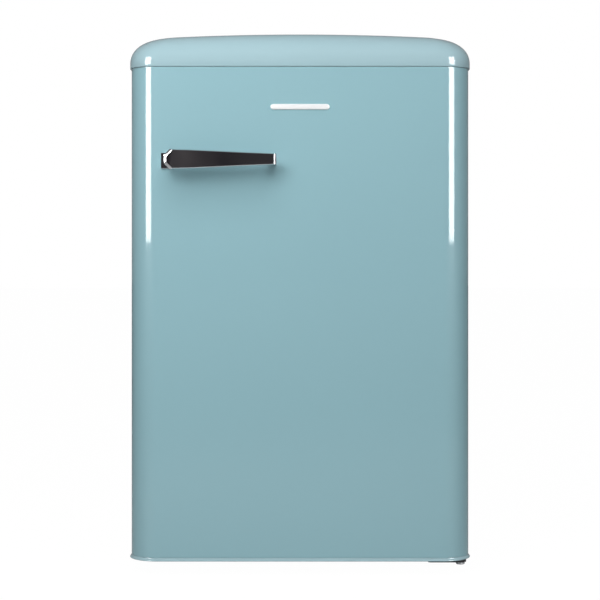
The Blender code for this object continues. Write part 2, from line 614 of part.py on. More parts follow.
def condenser():
    """Serpentine tube from the compressor to the drier, with a grid of wires over it."""
    plane = REAR - WIRE - FIT - CONDENSER_RADIUS
    half = HALF_WIDTH - 0.062
    bottom, top = BAY_TOP + 0.045, LID_BOTTOM - 0.030
    passes = 2 * int((top - bottom) / CONDENSER_PITCH / 2) + 1
    foot_plate = BASE + 2.5 * SHEET + GROMMET_HEIGHT
    start = Vector((COMPRESSOR_X + COMPRESSOR_HALF[0] + FIT, COMPRESSOR_Y + 0.02, foot_plate + 0.05))
    riser = half + 0.030
    corners = [start, start + Vector((0.03, 0, 0)), (riser, plane - 0.02, start.z + 0.03),
               (riser, plane, start.z + 0.075), (riser, plane, top)]
    sign = 1
    for index in range(passes):
        z = top - index * CONDENSER_PITCH
        corners += [(sign * half, plane, z)] if index else []
        corners += [(-sign * half, plane, z)]
        sign = -sign
    last_z = top - (passes - 1) * CONDENSER_PITCH
    corners[-1] = (DRIER.x, plane, last_z)
    corners += [(DRIER.x, plane, last_z - 0.045), (DRIER.x, DRIER.y, DRIER.z + 0.075),
                (DRIER.x, DRIER.y, DRIER.z + 0.0525)]
    path = rounded_path(corners, 0.0085, 3)
    tube("condenser_tube", path, CONDENSER_RADIUS, "black_steel", 1)

    low, high = last_z - 0.018, top + 0.018
    span = half - 0.008
    bars = 2 * int(span / 0.0135) + 1
    pitch = 2 * span / (bars - 1)
    grid = block("condenser_wires", (-span - WIRE, REAR - WIRE, high - WIRE), (span + WIRE, REAR, high),
                 "black_steel")
    pieces = [block("condenser_wires_low", (-span - WIRE, REAR - WIRE, low), (span + WIRE, REAR, low + WIRE),
                    "black_steel")]
    for index in range(bars):
        x = -span + index * pitch
        pieces.append(block(f"condenser_wire_{index}", (x - WIRE / 2, REAR - 0.9 * WIRE, low + WIRE / 2),
                            (x + WIRE / 2, REAR - 0.1 * WIRE, high - WIRE / 2), "black_steel"))
    for sign in (-1, 1):
        for z in (low, high - WIRE):
            pieces.append(block(f"condenser_leg_{sign}_{z:.2f}",
                                (sign * span - 0.004, CABINET_BACK + FIT, z - 0.002),
                                (sign * span + 0.004, REAR - WIRE / 2, z + WIRE + 0.002), "black_steel"))
    return boolean_all(grid, pieces)


def boolean_all(obj, tools):
    """Union of many pieces that cross each other, through one collection."""
    group = bpy.data.collections.new(f"{obj.name}_pieces")
    bpy.context.scene.collection.children.link(group)
    for tool in tools:
        bpy.context.scene.collection.objects.unlink(tool)
        group.objects.link(tool)
        helper(tool)
    modifier = obj.modifiers.new("union_of_pieces", "BOOLEAN")
    modifier.operation = "UNION"
    modifier.solver = "EXACT"
    modifier.operand_type = "COLLECTION"
    modifier.collection = group
    return obj


def suction_line():
    """Bare copper return line from the compressor up through the roof of the bay."""
    foot_plate = BASE + 2.5 * SHEET + GROMMET_HEIGHT
    start = (COMPRESSOR_X + 0.03, COMPRESSOR_Y - 1.06 * COMPRESSOR_HALF[1] - 0.002, foot_plate + 0.09)
    path = rounded_path([start, (start[0], SUCTION_Y, start[2]), (SUCTION_X, SUCTION_Y, start[2] + 0.03),
                         (SUCTION_X, SUCTION_Y, BAY_TOP + SHEET)], 0.008, 3)
    tube("suction_line", path, 0.0035, "copper", 1)


# ---------------------------------------------------------------- inside the cabinet
def ice_box():
    """Evaporator sleeve under the ceiling, with lugs that carry its door."""
    back = CAVITY_BACK - 0.015
    wall = ICE_BOX_WALL
    stations = (
        (back, ICE_BOX_X, ICE_BOX_BOTTOM, ICE_BOX_TOP),
        (ICE_BOX_FRONT, ICE_BOX_X, ICE_BOX_BOTTOM, ICE_BOX_TOP),
        (ICE_BOX_FRONT, ICE_BOX_X - wall, ICE_BOX_BOTTOM + wall, ICE_BOX_TOP - wall),
        (back - wall, ICE_BOX_X - wall, ICE_BOX_BOTTOM + wall, ICE_BOX_TOP - wall),
    )
    rings = [ring(rounded_rect(-x, x, z0, z1, 0.008, 3), front, y) for y, x, z0, z1 in stations]
    sleeve = loft("ice_box", rings, "white_plastic")
    for sign in (-1, 1):
        hanger = block(f"ice_box_hanger_{sign}",
                       (sign * 0.12 - 0.010, ICE_BOX_FRONT + 0.020, ICE_BOX_TOP - 0.001),
                       (sign * 0.12 + 0.010, back - 0.020, CAVITY_CEILING - FIT), "white_plastic")
        boolean(sleeve, hanger, "UNION")
    for name, z in (("low", ICE_BOX_BOTTOM), ("high", ICE_BOX_TOP - 0.003)):
        lug = block(f"ice_box_lug_{name}", (ICE_PIVOT.x - 0.008, ICE_DOOR_FRONT - 0.001, z),
                    (ICE_PIVOT.x + 0.0065, ICE_BOX_FRONT + 0.006, z + 0.003), "white_plastic")
        boolean(sleeve, lug, "UNION")
        drill(sleeve, ICE_PIVOT + Vector((0, 0, z)), 0.0028, 0.006, sides=12)

    low, high = ICE_BOX_BOTTOM + 0.0045, ICE_BOX_TOP - 0.0045
    flap = block("ice_box_door", (-ICE_BOX_X + 0.001, ICE_DOOR_FRONT, low),
                 (ICE_BOX_X - 0.001, ICE_DOOR_FRONT + ICE_DOOR_THICKNESS, high), "clear_plastic", 0.002)
    trunnion = turned("ice_box_trunnion", ICE_PIVOT, [(ICE_BOX_BOTTOM + 0.0005, 0.0025),
                                                      (ICE_BOX_TOP - 0.0005, 0.0025)], "clear_plastic")
    boolean(flap, trunnion, "UNION")
    halfway = (low + high) / 2
    grip = block("ice_box_grip", (-ICE_BOX_X + 0.010, ICE_DOOR_FRONT - 0.006, halfway - 0.028),
                 (-ICE_BOX_X + 0.020, ICE_DOOR_FRONT + 0.004, halfway + 0.028), "clear_plastic", 0.002)
    boolean(flap, grip, "UNION")
    turn_on("ice_box_door_axis", ICE_PIVOT, flap)


def shelves():
    """Glass shelves with a clip-on front trim. The lowest one covers the crisper."""
    names = ("crisper_cover", "lower_shelf", "upper_shelf")
    for name, z in zip(names, SHELF_LEVELS):
        half = CAVITY_X - 0.006
        block(f"{name}_glass", (-half, SHELF_FRONT + 0.003, z), (half, CAVITY_BACK - 0.012, z + GLASS),
              "glass")
        face, lap, lip = SHELF_FRONT, SHELF_FRONT + 0.009, 0.002
        slot = SHELF_FRONT + 0.003 - FIT
        outline = [(face, z - lip - FIT), (lap, z - lip - FIT), (lap, z - FIT), (slot, z - FIT),
                   (slot, z + GLASS + FIT), (lap, z + GLASS + FIT), (lap, z + GLASS + FIT + lip),
                   (face, z + GLASS + FIT + lip)]
        prism(f"{name}_trim", outline, side, -half, half, "white_plastic")


def crisper():
    """Pull-out drawer on the floor of the liner, in front of the step."""
    half, face, back = CAVITY_X - 0.020, SHELF_FRONT, STEP_FRONT - 0.006
    low, high = CAVITY_FLOOR + FIT + 0.001, STEP_TOP - CRISPER_GAP
    wall, draft = 0.002, 0.008
    steps = ((low, half - draft, face + draft, back - draft), (high, half, face, back),
             (high, half - wall, face + wall, back - wall),
             (low + wall, half - draft - wall, face + draft + wall, back - draft - wall))
    rings = [ring(rounded_rect(-x, x, y0, y1, 0.012, 3), plan, z) for z, x, y0, y1 in steps]
    drawer = loft("crisper_drawer", rings, "clear_plastic")
    grip = block("crisper_grip", (-0.075, face - 0.008, high - 0.014), (0.075, face + 0.0015, high - 0.002),
                 "clear_plastic", 0.002)
    boolean(drawer, grip, "UNION")
    turn_on("crisper_axis", (0, face, low), drawer)


def control_housing():
    """Lamp and thermostat housing on the right wall, with knob, bulb, lens and door switch."""
    wall = CAVITY_X - FIT
    inner = CAVITY_X - 0.0275
    low, high = CONTROL_BOTTOM, CONTROL_BOTTOM + CONTROL_HEIGHT
    face = DOOR_BACK + RIDGE_DEPTH + 0.0115
    end = SHELF_FRONT + 0.175
    housing = block("control_housing", (inner, face, low), (wall, end, high), "white_plastic", 0.003)
    lamp_low, lamp_high = SHELF_FRONT + 0.060, SHELF_FRONT + 0.160
    well = block("lamp_well", (inner - 0.01, lamp_low, low + 0.008), (inner + 0.020, lamp_high, high - 0.008),
                 "white_plastic")
    boolean(housing, well, "DIFFERENCE")
    middle = (low + high) / 2
    switch_at = Vector((CAVITY_X - 0.0165, face, middle))
    drill(housing, switch_at, 0.0042, 0.030, front, 12)
    turned("lamp_bulb", (inner + 0.010, (lamp_low + lamp_high) / 2, middle),
           [(-0.040, 0.006), (-0.028, 0.006), (-0.020, 0.0075), (0.020, 0.0075), (0.032, 0.004)],
           "milky_plastic", front)
    block("lamp_lens", (inner - 0.002, lamp_low + FIT, low + 0.008 + FIT),
          (inner + 0.0015, lamp_high - FIT, high - 0.008 - FIT), "clear_plastic")
    knob_at = Vector((inner - FIT, SHELF_FRONT + 0.022, middle))
    knob = turned("thermostat_knob", knob_at, [(-0.013, 0.016), (-0.011, 0.0185), (0, 0.0195)],
                  "white_plastic", side, 20)
    rib = block("knob_rib", knob_at + Vector((-0.0165, -0.0025, -0.0165)),
                knob_at + Vector((-0.010, 0.0025, 0.0165)), "white_plastic", 0.001)
    boolean(knob, rib, "UNION")
    turn_on("thermostat_axis", knob_at, knob)
    tip = DOOR_BACK + RIDGE_DEPTH + FIT
    button = turned("door_switch_button", (switch_at.x, 0, switch_at.z),
                    [(tip, 0.0028), (tip + 0.001, 0.0038), (face + 0.028, 0.0038)], "white_plastic", front)
    turn_on("door_switch_axis", (switch_at.x, tip, switch_at.z), button)


# ---------------------------------------------------------------- door
def door_outline(inset, back):
    """Plan of the door: a full-width rectangle whose two front corners are round."""
    radius = EDGE_RADIUS - inset
    half = HALF_WIDTH - inset
    return rounded_rect(-half, half, DOOR_FRONT + inset, back, (radius, radius, 0, 0), 6)


def door_shell():
    """Painted skin between a moulded foot and a cap let into its top, and the foam behind it."""
    low, foam_low = DOOR_BOTTOM + CAP_LIP + FIT, DOOR_BOTTOM + CAP_HEIGHT + FIT
    skin_back = DOOR_BACK - DOOR_LINER - FIT
    outer, inner = door_outline(0, skin_back), door_outline(SHEET, skin_back)
    turned_in = HALF_WIDTH - 0.010
    returned = [(turned_in, skin_back), (turned_in, skin_back - SHEET),
                (HALF_WIDTH - SHEET, skin_back - SHEET)]
    mirrored = [(-u, v) for u, v in reversed(returned)]
    outline = outer[:-1] + returned + inner[:-2][::-1] + mirrored + outer[-1:]
    skin = prism("door_skin", outline, plan, low, DOOR_TOP, "teal_paint")

    flare = ((0.0, 0.0), (0.0004, 0.8 * CAP_FLARE), (0.0013, CAP_FLARE), (0.0026, 0.65 * CAP_FLARE),
             (0.0046, 0.08 * CAP_FLARE), (CAP_LIP, 0.0))
    inside, rim = door_outline(SHEET + FIT, skin_back - SHEET - FIT), DOOR_TOP - 0.001
    rings = [ring(door_outline(-out, skin_back), plan, DOOR_BOTTOM + z) for z, out in flare]
    rings += [ring(inside, plan, DOOR_BOTTOM + z) for z in (CAP_LIP, CAP_HEIGHT)]
    bottom = loft("door_bottom_cap", rings, "teal_paint")
    top = prism("door_top_cap", inside, plan, DOOR_TOP - CAP_HEIGHT, rim, "teal_paint")
    for cap, z in ((bottom, DOOR_BOTTOM), (top, rim)):
        drill(cap, PIVOT + Vector((0, 0, z)), HINGE_PIN_RADIUS + FIT, HINGE_ENGAGEMENT + 0.001)

    foam_back = skin_back - SHEET - FIT
    foam_top = DOOR_TOP - CAP_HEIGHT - FIT
    foam = prism("door_foam", door_outline(SHEET + FIT, foam_back), plan, foam_low + FIT, foam_top, "foam")
    inset = DOOR_LINER + FIT
    crest = DOOR_BACK + RIDGE_DEPTH - inset
    levels = ((foam_back - 0.010, inset, 0.016), (crest, 0.003 + inset, 0.014),
              (crest, RIDGE_WIDTH - inset, 0.010), (RECESS - inset, RIDGE_WIDTH + 0.003 - inset, 0.010))
    rings = [ring(rounded_rect(d - RIDGE_X, RIDGE_X - d, RIDGE_BOTTOM + d, RIDGE_TOP - d, radius, 3),
                  front, y) for y, d, radius in levels]
    ridge = loft("door_foam_ridge", rings, "foam")
    boolean(foam, ridge, "UNION")
    screws = []
    for name, x in zip(("handle_screw_left", "handle_screw_right"), HANDLE_SCREWS):
        drill(skin, (x, DOOR_FRONT, HANDLE_Z), 0.0025, 0.01, front, 10)
        drill(foam, (x, DOOR_FRONT, HANDLE_Z), 0.006, 0.016, front, 10)
        screws.append(turned(name, (x, DOOR_FRONT, HANDLE_Z),
                             [(-0.010, 0.002), (SHEET + FIT, 0.002), (SHEET + 2 * FIT, 0.0045),
                              (SHEET + 0.0035, 0.0045), (SHEET + 0.0045, 0.003)], "zinc_steel", front))
    return [skin, bottom, top, foam, *screws]


def door_liner():
    """Vacuum-formed inner panel: a flange under the seal, a raised ridge and a recessed middle."""
    sheet = DOOR_LINER
    flange_x, flange_low, flange_high = HALF_WIDTH - 0.003, DOOR_BOTTOM + 0.002, DOOR_TOP - 0.002
    crest = DOOR_BACK + RIDGE_DEPTH

    def rect(x, low, high, radius):
        return rounded_rect(-x, x, low, high, radius, 3)

    def ridge_rect(d, radius):
        return rect(RIDGE_X - d, RIDGE_BOTTOM + d, RIDGE_TOP - d, radius)

    levels = (
        (RECESS - sheet, ridge_rect(RIDGE_WIDTH + 0.003 - sheet, 0.010)),
        (crest - sheet, ridge_rect(RIDGE_WIDTH - sheet, 0.010)),
        (crest - sheet, ridge_rect(0.003 + sheet, 0.014)),
        (DOOR_BACK - sheet, ridge_rect(sheet, 0.016)),
        (DOOR_BACK - sheet, rect(flange_x, flange_low, flange_high, 0.004)),
        (DOOR_BACK, rect(flange_x, flange_low, flange_high, 0.004)),
        (DOOR_BACK, ridge_rect(0, 0.016)),
        (crest, ridge_rect(0.003, 0.014)),
        (crest, ridge_rect(RIDGE_WIDTH, 0.010)),
        (RECESS, ridge_rect(RIDGE_WIDTH + 0.003, 0.010)),
    )
    liner = loft("door_liner", [ring(outline, front, y) for y, outline in levels], "white_plastic")
    for name, low, _ in BALCONIES:
        for sign in (-1, 1):
            wall = sign * (RIDGE_X - RIDGE_WIDTH - 0.0008)
            inner = sign * (BALCONY_X - 0.006)
            ledge = block(f"{name}_ledge_{'left' if sign < 0 else 'right'}",
                          (min(wall, inner), RECESS + 0.006, low - 0.008),
                          (max(wall, inner), crest - 0.010, low - FIT), "white_plastic")
            boolean(liner, ledge, "UNION")
    return liner


def door_gasket():
    """Magnetic seal: a soft frame on the door that closes on the cabinet's front."""
    half = HALF_WIDTH - SEAL_INSET
    low = BASE + SEAL_INSET
    high = CABINET_TOP - SEAL_INSET
    width, face = GASKET_WIDTH, CABINET_FRONT - FIT
    levels = ((DOOR_BACK + FIT, 0.002, width - 0.002), (face - 0.003, 0, width), (face, 0.002, width - 0.002))
    rings = [ring(rounded_rect(-half + d, half - d, low + d, high - d, 0.010, 3), front, y)
             for y, d, _ in levels]
    rings += [ring(rounded_rect(-half + d, half - d, low + d, high - d, 0.004, 3), front, y)
              for y, _, d in reversed(levels)]
    bm = bmesh.new()
    rows = [[bm.verts.new(point) for point in each] for each in rings]
    for low_row, high_row in zip(rows, rows[1:] + rows[:1]):
        for i in range(len(low_row)):
            j = (i + 1) % len(low_row)
            bm.faces.new((low_row[i], low_row[j], high_row[j], high_row[i]))
    return add_object("door_gasket", bm, "grey_rubber", 35)


def handle_outline(inset):
    """Front outline of the handle: a taper whose tall end has its two corners cut off."""
    left, right = HANDLE_LEFT + inset, HANDLE_RIGHT - inset
    tall, short = HANDLE_TALL_END / 2 - inset, HANDLE_SHORT_END / 2 - inset
    cut, flat = HANDLE_CUT, HANDLE_TALL_END / 2 - HANDLE_CUT - 0.4 * inset
    upper = [(left, flat), (left + cut, tall), (right, short)]
    return [(u, HANDLE_Z - v) for u, v in upper] + [(u, HANDLE_Z + v) for u, v in reversed(upper)]


def door_handle():
    """Cast bow handle: a bevelled bar, tall at the opening side, on two legs that widen to the door."""
    back, bevel = HANDLE_FRONT + HANDLE_THICKNESS, 0.002
    levels = ((HANDLE_FRONT, bevel), (HANDLE_FRONT + bevel, 0), (back - bevel, 0), (back, bevel))
    handle = loft("door_handle", [ring(handle_outline(inset), front, y) for y, inset in levels], "chrome")
    foot = DOOR_FRONT - FIT
    legs = (("left", -1, HANDLE_LEFT, 0.0075, 0.0125), ("right", 1, HANDLE_RIGHT, 0.005, 0.0075))
    for name, outward, end, near_half, foot_half in legs:
        near_end, foot_end = end - outward * 0.003, end + outward * (0.007 if outward < 0 else -0.001)
        rings = []
        for y, edge, half in ((back - 0.004, near_end, near_half), (back + 0.006, near_end, near_half),
                              (foot, foot_end, foot_half)):
            other = end - outward * HANDLE_LEG
            outline = rounded_rect(min(edge, other), max(edge, other), HANDLE_Z - half, HANDLE_Z + half,
                                   0.002, 1)
            rings.append(ring(outline, front, y))
        boolean(handle, loft(f"door_handle_leg_{name}", rings, "chrome"), "UNION")
    for x in HANDLE_SCREWS:
        drill(handle, (x, foot, HANDLE_Z), 0.0025, 0.0115, front, 10)
    return handle


def nameplate():
    """Blank bright bar where a maker would put a name."""
    z = DOOR_TOP - 0.064
    outline = rounded_rect(-0.047, 0.047, z - 0.0045, z + 0.0045, 0.0044, 3)
    inner = rounded_rect(-0.0455, 0.0455, z - 0.003, z + 0.003, 0.0029, 3)
    levels = ((DOOR_FRONT - FIT, outline), (DOOR_FRONT - 0.0015, outline), (DOOR_FRONT - 0.0025, inner))
    return loft("nameplate", [ring(each, front, y) for y, each in levels], "chrome")


def balcony(name, low, height):
    """Door shelf: an open tray between the ridges of the door liner."""
    face, back, wall, draft = RECESS + FIT, BALCONY_BACK, 0.002, 0.004
    x = BALCONY_X
    steps = ((low, x - draft, face, back - draft), (low + height, x, face, back),
             (low + height, x - wall, face + wall, back - wall),
             (low + wall, x - draft - wall, face + wall, back - draft - wall))
    rings = [ring(rounded_rect(-u, u, v0, v1, (0.003, 0.003, 0.016, 0.016), 3), plan, z)
             for z, u, v0, v1 in steps]
    return loft(name, rings, "clear_plastic")


def egg_tray():
    """Six-cup tray standing in the upper balcony."""
    _, low, _ = BALCONIES[-1]
    bottom = low + 0.002 + FIT
    centre_y = (RECESS + BALCONY_BACK) / 2
    tray = block("egg_tray", (-0.140, centre_y - 0.042, bottom), (0.030, centre_y + 0.042, bottom + 0.022),
                 "white_plastic", 0.003)
    for row in (-1, 1):
        for column in range(3):
            drill(tray, (-0.110 + column * 0.055, centre_y + row * 0.0205, bottom + 0.0225), 0.0185, 0.0175)
    return tray


def door():
    pieces = [*door_shell(), door_liner(), door_gasket(), door_handle(), nameplate()]
    pieces += [balcony(*each) for each in BALCONIES]
    pieces.append(egg_tray())
    turn_on("door_axis", PIVOT, *pieces)


def main():
    for obj in list(bpy.data.objects):
        bpy.data.objects.remove(obj, do_unlink=True)
    cabinet_wrap()
    cabinet_base()
    rear_panels()
    cabinet_foam()
    inner_liner()
    top_cover()
    cover_underplate()
    door_hinges()
    levelling_feet()
    machine_bay()
    condenser()
    suction_line()
    ice_box()
    shelves()
    crisper()
    control_housing()
    door()


main()
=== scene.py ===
"""Finished surfaces, materials and studio for the retro refrigerator with its domed cover."""

import json
import math

import bmesh
import bpy
from mathutils import Matrix, Vector


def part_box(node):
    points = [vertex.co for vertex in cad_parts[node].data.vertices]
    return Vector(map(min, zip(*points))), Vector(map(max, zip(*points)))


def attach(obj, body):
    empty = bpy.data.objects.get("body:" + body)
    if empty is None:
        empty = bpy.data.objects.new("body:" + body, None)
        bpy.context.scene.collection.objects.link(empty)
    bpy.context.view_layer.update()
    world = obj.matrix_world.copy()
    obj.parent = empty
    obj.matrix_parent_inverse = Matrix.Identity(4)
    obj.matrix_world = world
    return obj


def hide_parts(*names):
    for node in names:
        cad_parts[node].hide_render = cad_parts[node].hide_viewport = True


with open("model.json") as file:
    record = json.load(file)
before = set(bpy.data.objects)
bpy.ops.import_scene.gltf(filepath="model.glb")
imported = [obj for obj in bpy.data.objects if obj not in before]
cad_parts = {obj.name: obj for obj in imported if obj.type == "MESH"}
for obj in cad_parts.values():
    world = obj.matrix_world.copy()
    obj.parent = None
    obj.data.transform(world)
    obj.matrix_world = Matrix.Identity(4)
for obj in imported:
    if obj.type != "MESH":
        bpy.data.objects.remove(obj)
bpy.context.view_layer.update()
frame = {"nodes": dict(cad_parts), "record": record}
NODES = frame["nodes"]

X, Y, Z = 0, 1, 2
RIGHT, BACK, UP = Vector((1, 0, 0)), Vector((0, 1, 0)), Vector((0, 0, 1))

# ---- sizes of its own, in metres
SHEET = 0.001
GAP = 0.0003
WALL = 0.002
LINER = 0.002
FLANGE = 0.036
CORNER_RADIUS = 0.045
LIP_HEIGHT = 0.0055
STRIP_HEIGHT = 1.2975

# ---- places taken from the frame
door_low, door_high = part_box("door_skin")
cover_low, cover_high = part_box("top_cover")
handle_low, handle_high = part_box("door_handle")
wrap_low, wrap_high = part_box("cabinet_wrap")
liner_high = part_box("inner_liner")[1]
trim_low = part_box("lower_shelf_trim")[0]
crisper_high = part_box("crisper_drawer")[1]
HALF_WIDTH = door_high.x
DOOR_FRONT = door_low.y
DOOR_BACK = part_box("door_gasket")[0].y - GAP
BASE_Z = wrap_low.z
liner_x = HALF_WIDTH - 0.04
cavity_floor, cavity_ceiling = BASE_Z + 0.045, liner_high.z - LINER
BALCONIES = ("bottle_balcony", "middle_balcony", "upper_balcony")
SLOT_OF = {row["node"]: row["material_slot"] for row in frame["record"]["subparts"]}
BODY_OF = {node: body for body, nodes in frame["record"]["behaviour"]["bodies"].items() for node in nodes}


def show(obj):
    bpy.context.scene.collection.objects.link(obj)


def shelf_low(node):
    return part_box(node)[0].z


# ---- studio
def studio_camera():
    """Level camera two and a half metres in front of the door, a little above its middle."""
    data = bpy.data.cameras.new("camera")
    data.lens, data.sensor_width, data.shift_y = 94.2, 36, -0.0603
    camera = bpy.data.objects.new("camera", data)
    camera.location = (0, DOOR_FRONT - 2.5, 0.4975)
    camera.rotation_euler = (math.radians(90), 0, 0)
    show(camera)
    bpy.context.scene.camera = camera


def softbox(name, location, aim, width, height, power):
    """A flat studio light that faces a point."""
    data = bpy.data.lights.new(name, "AREA")
    data.shape = "RECTANGLE"
    data.size, data.size_y = width, height
    data.energy = power
    light = bpy.data.objects.new(name, data)
    light.location = location
    light.rotation_euler = (Vector(aim) - Vector(location)).to_track_quat("-Z", "Y").to_euler()
    show(light)
    return light


class Number:
    """A socket that carries a value. Arithmetic on it adds Math nodes."""

    def __init__(self, finish, socket):
        self.finish, self.socket = finish, socket

    def math(self, operation, *others):
        return self.finish.node("ShaderNodeMath", {"operation": operation}, dict(enumerate((self, *others))))

    def __add__(self, other):
        return self.math("ADD", other)

    def __mul__(self, other):
        return self.math("MULTIPLY", other)

    def __rsub__(self, other):
        return self.finish.node("ShaderNodeMath", {"operation": "SUBTRACT"}, {0: other, 1: self})

    def between(self, low, high):
        """0 below low and 1 above high."""
        values = {"Value": self, "From Min": low, "From Max": high}
        return self.finish.node("ShaderNodeMapRange", {"clamp": True}, values)


class Finish:
    """One procedural material, or the world, while its nodes are put together."""

    def __init__(self, name, block=None):
        self.block = block or bpy.data.materials.new(name)
        self.block.use_nodes = True
        self.tree = self.block.node_tree
        self.shader = self.tree.nodes.get("Principled BSDF")

    def node(self, kind, settings=None, values=None, output=0):
        """Adds a node with its settings, then the values or links of its sockets; gives an output."""
        made = self.tree.nodes.new(kind)
        for name, value in (settings or {}).items():
            setattr(made, name, value)
        for name, value in (values or {}).items():
            self.feed(made.inputs[name], value)
        return Number(self, made.outputs[output])

    def feed(self, socket, value):
        if isinstance(value, Number):
            self.tree.links.new(value.socket, socket)
        else:
            socket.default_value = value

    def surface(self, **values):
        """Sets or links the sockets of the surface shader, whose names have _ for a space."""
        for name, value in values.items():
            self.feed(self.shader.inputs[name.replace("_", " ")], value)
        return self.block

    def place(self, stretch=(1, 1, 1)):
        where = self.node("ShaderNodeTexCoord", output="Object")
        return self.node("ShaderNodeMapping", values={"Vector": where, "Scale": stretch})

    def noise(self, scale, detail=2.0, rough=0.5, stretch=(1, 1, 1)):
        values = {"Vector": self.place(stretch), "Scale": scale, "Detail": detail, "Roughness": rough}
        return self.node("ShaderNodeTexNoise", values=values)

    def cells(self, scale, output):
        values = {"Vector": self.place(), "Scale": scale}
        return self.node("ShaderNodeTexVoronoi", values=values, output=output)

    def mix(self, share, first, second):
        first = first if isinstance(first, Number) else (*first, 1)
        second = second if isinstance(second, Number) else (*second, 1)
        return self.node("ShaderNodeMix", {"data_type": "RGBA"}, {0: share, 6: first, 7: second}, 2)

    def relief(self, height, depth, strength=1.0):
        """A normal bent by a height; depth is in metres."""
        values = {"Height": height, "Distance": depth, "Strength": strength}
        return self.node("ShaderNodeBump", values=values, output="Normal")

    def upward(self):
        """1 where the surface faces the ceiling, 0 on walls and below."""
        normal = self.node("ShaderNodeNewGeometry", output="Normal")
        parts = self.node("ShaderNodeSeparateXYZ", values={"Vector": normal}, output="Z")
        return parts.between(0.55, 0.98)


def studio_lights():
    """Two tall softboxes beside the camera, four soft fill lights, and a dim room with white behind."""
    for side in (-1, 1):
        strip = softbox(f"tall_strip_{side}", (side * 1.75, -1.93, STRIP_HEIGHT), (0, -0.22, STRIP_HEIGHT),
                        0.92, 1.465, 80)
        strip.visible_diffuse = False
    softbox("overhead_softbox", (0, -1.5, 2.3), (0, -0.2, 0.6), 1.6, 1.0, 18.5).visible_glossy = False
    softbox("front_softbox", (0, -2.2, 1.5), (0, -0.26, 0.6), 1.4, 0.8, 8.2).visible_glossy = False
    softbox("left_key", (-0.62, -1.38, 1.15), (0, -0.26, 0.62), 0.7, 0.7, 10.0).visible_glossy = False
    softbox("right_fill", (1.9, -1.3, 0.8), (0.2, -0.2, 0.5), 1.0, 1.4, 7.0).visible_glossy = False
    world = bpy.data.worlds.new("studio_room")
    bpy.context.scene.world = world
    room = Finish("studio_room", world)
    background = room.tree.nodes["Background"]
    facing = room.node("ShaderNodeTexCoord", output="Generated")
    ahead = room.node("ShaderNodeSeparateXYZ", values={"Vector": facing}, output="Y")
    dark = (ahead * -1).between(0.8, 0.94)
    seen = room.node("ShaderNodeLightPath", output="Is Camera Ray")
    turned = room.node("ShaderNodeMapping", values={"Vector": facing, "Scale": (1, 1, 0.04)})
    bands = room.node("ShaderNodeTexNoise", values={"Vector": turned, "Scale": 26.0, "Detail": 2.0})
    flags = room.mix(bands.between(0.42, 0.68), (0.022, 0.02, 0.024), (0.085, 0.078, 0.08))
    glow = room.mix(dark, (0.23, 0.235, 0.24), flags)
    room.feed(background.inputs["Color"], room.mix(seen, glow, (1, 1, 1)))


def studio_floor():
    """Pale floor that keeps only a faint shadow."""
    bm = bmesh.new()
    bmesh.ops.create_grid(bm, x_segments=1, y_segments=1, size=30)
    mesh = bpy.data.meshes.new("floor")
    bm.to_mesh(mesh)
    bm.free()
    pale = Finish("pale_floor")
    tint = pale.noise(3.0)
    pale.surface(Base_Color=pale.mix(tint, (0.5, 0.5, 0.5), (0.54, 0.54, 0.54)), Roughness=0.8)
    glow = pale.node("ShaderNodeEmission", values={"Color": (1, 1, 1, 1), "Strength": 1.03}, output=0)
    seen = pale.node("ShaderNodeLightPath", output="Is Camera Ray")
    diffuse = Number(pale, pale.shader.outputs[0])
    mixed = pale.node("ShaderNodeMixShader", values={0: seen * 0.96, 1: diffuse, 2: glow})
    pale.feed(pale.tree.nodes["Material Output"].inputs["Surface"], mixed)
    mesh.materials.append(pale.block)
    floor = bpy.data.objects.new("floor", mesh)
    show(floor)


# ---- materials
def paint(name, shade, peel, gloss):
    """Glossy teal lacquer: a soft base under a clear coat, with a trace of orange peel."""
    made = Finish(name)
    cloud = made.noise(2.2)
    colour = made.mix(cloud, [0.98 * part for part in shade], [1.02 * part for part in shade])
    wiped = made.noise(5)
    ripple = made.noise(420, 1.5)
    return made.surface(Base_Color=colour, Roughness=wiped * 0.04 + gloss, IOR=1.5, Coat_Weight=1.0,
                        Coat_Roughness=0.045, Coat_IOR=1.45, Specular_IOR_Level=0.08,
                        Normal=made.relief(ripple, peel, 0.5))


def chrome_plate():
    """Bright plating with faint wiping marks."""
    made = Finish("chrome_plate")
    marks = made.noise(30, 4.0, 0.55, (0.4, 1, 1))
    tint = made.mix(marks, (0.7, 0.7, 0.71), (0.64, 0.645, 0.66))
    return made.surface(Base_Color=tint, Metallic=1.0, Roughness=marks * 0.05 + 0.045)


def satin_silver():
    """Bead-blasted silver for the nameplate."""
    made = Finish("satin_silver")
    beads = made.noise(2600)
    return made.surface(Base_Color=made.mix(beads, (0.9, 0.91, 0.92), (0.97, 0.97, 0.97)), Metallic=0.3,
                        Roughness=0.32, Normal=made.relief(beads, 0.00003, 0.4))


def moulded(name, dark, light, gloss, grain=1300, depth=0.00003):
    """Moulded plastic: a fine grain, a slow drift of its shade and a slightly uneven gloss."""
    made = Finish(name)
    drift, fine = made.noise(4.0), made.noise(grain)
    return made.surface(Base_Color=made.mix(drift, dark, light), Roughness=drift * 0.08 + gloss,
                        IOR=1.48, Normal=made.relief(fine, depth, 0.5))


def clear_moulding():
    """Clear blue-grey moulding with faint flow marks, cloudier where the flow met."""
    made = Finish("clear_moulding")
    flow = made.noise(9, 3.0, 0.6, (1, 1, 0.25))
    tint = made.mix(flow, (0.7, 0.8, 0.84), (0.82, 0.89, 0.91))
    return made.surface(Base_Color=tint, Roughness=flow * 0.08 + 0.06, IOR=1.49, Alpha=flow * 0.14 + 0.3,
                        Normal=made.relief(flow, 0.0006, 0.15))


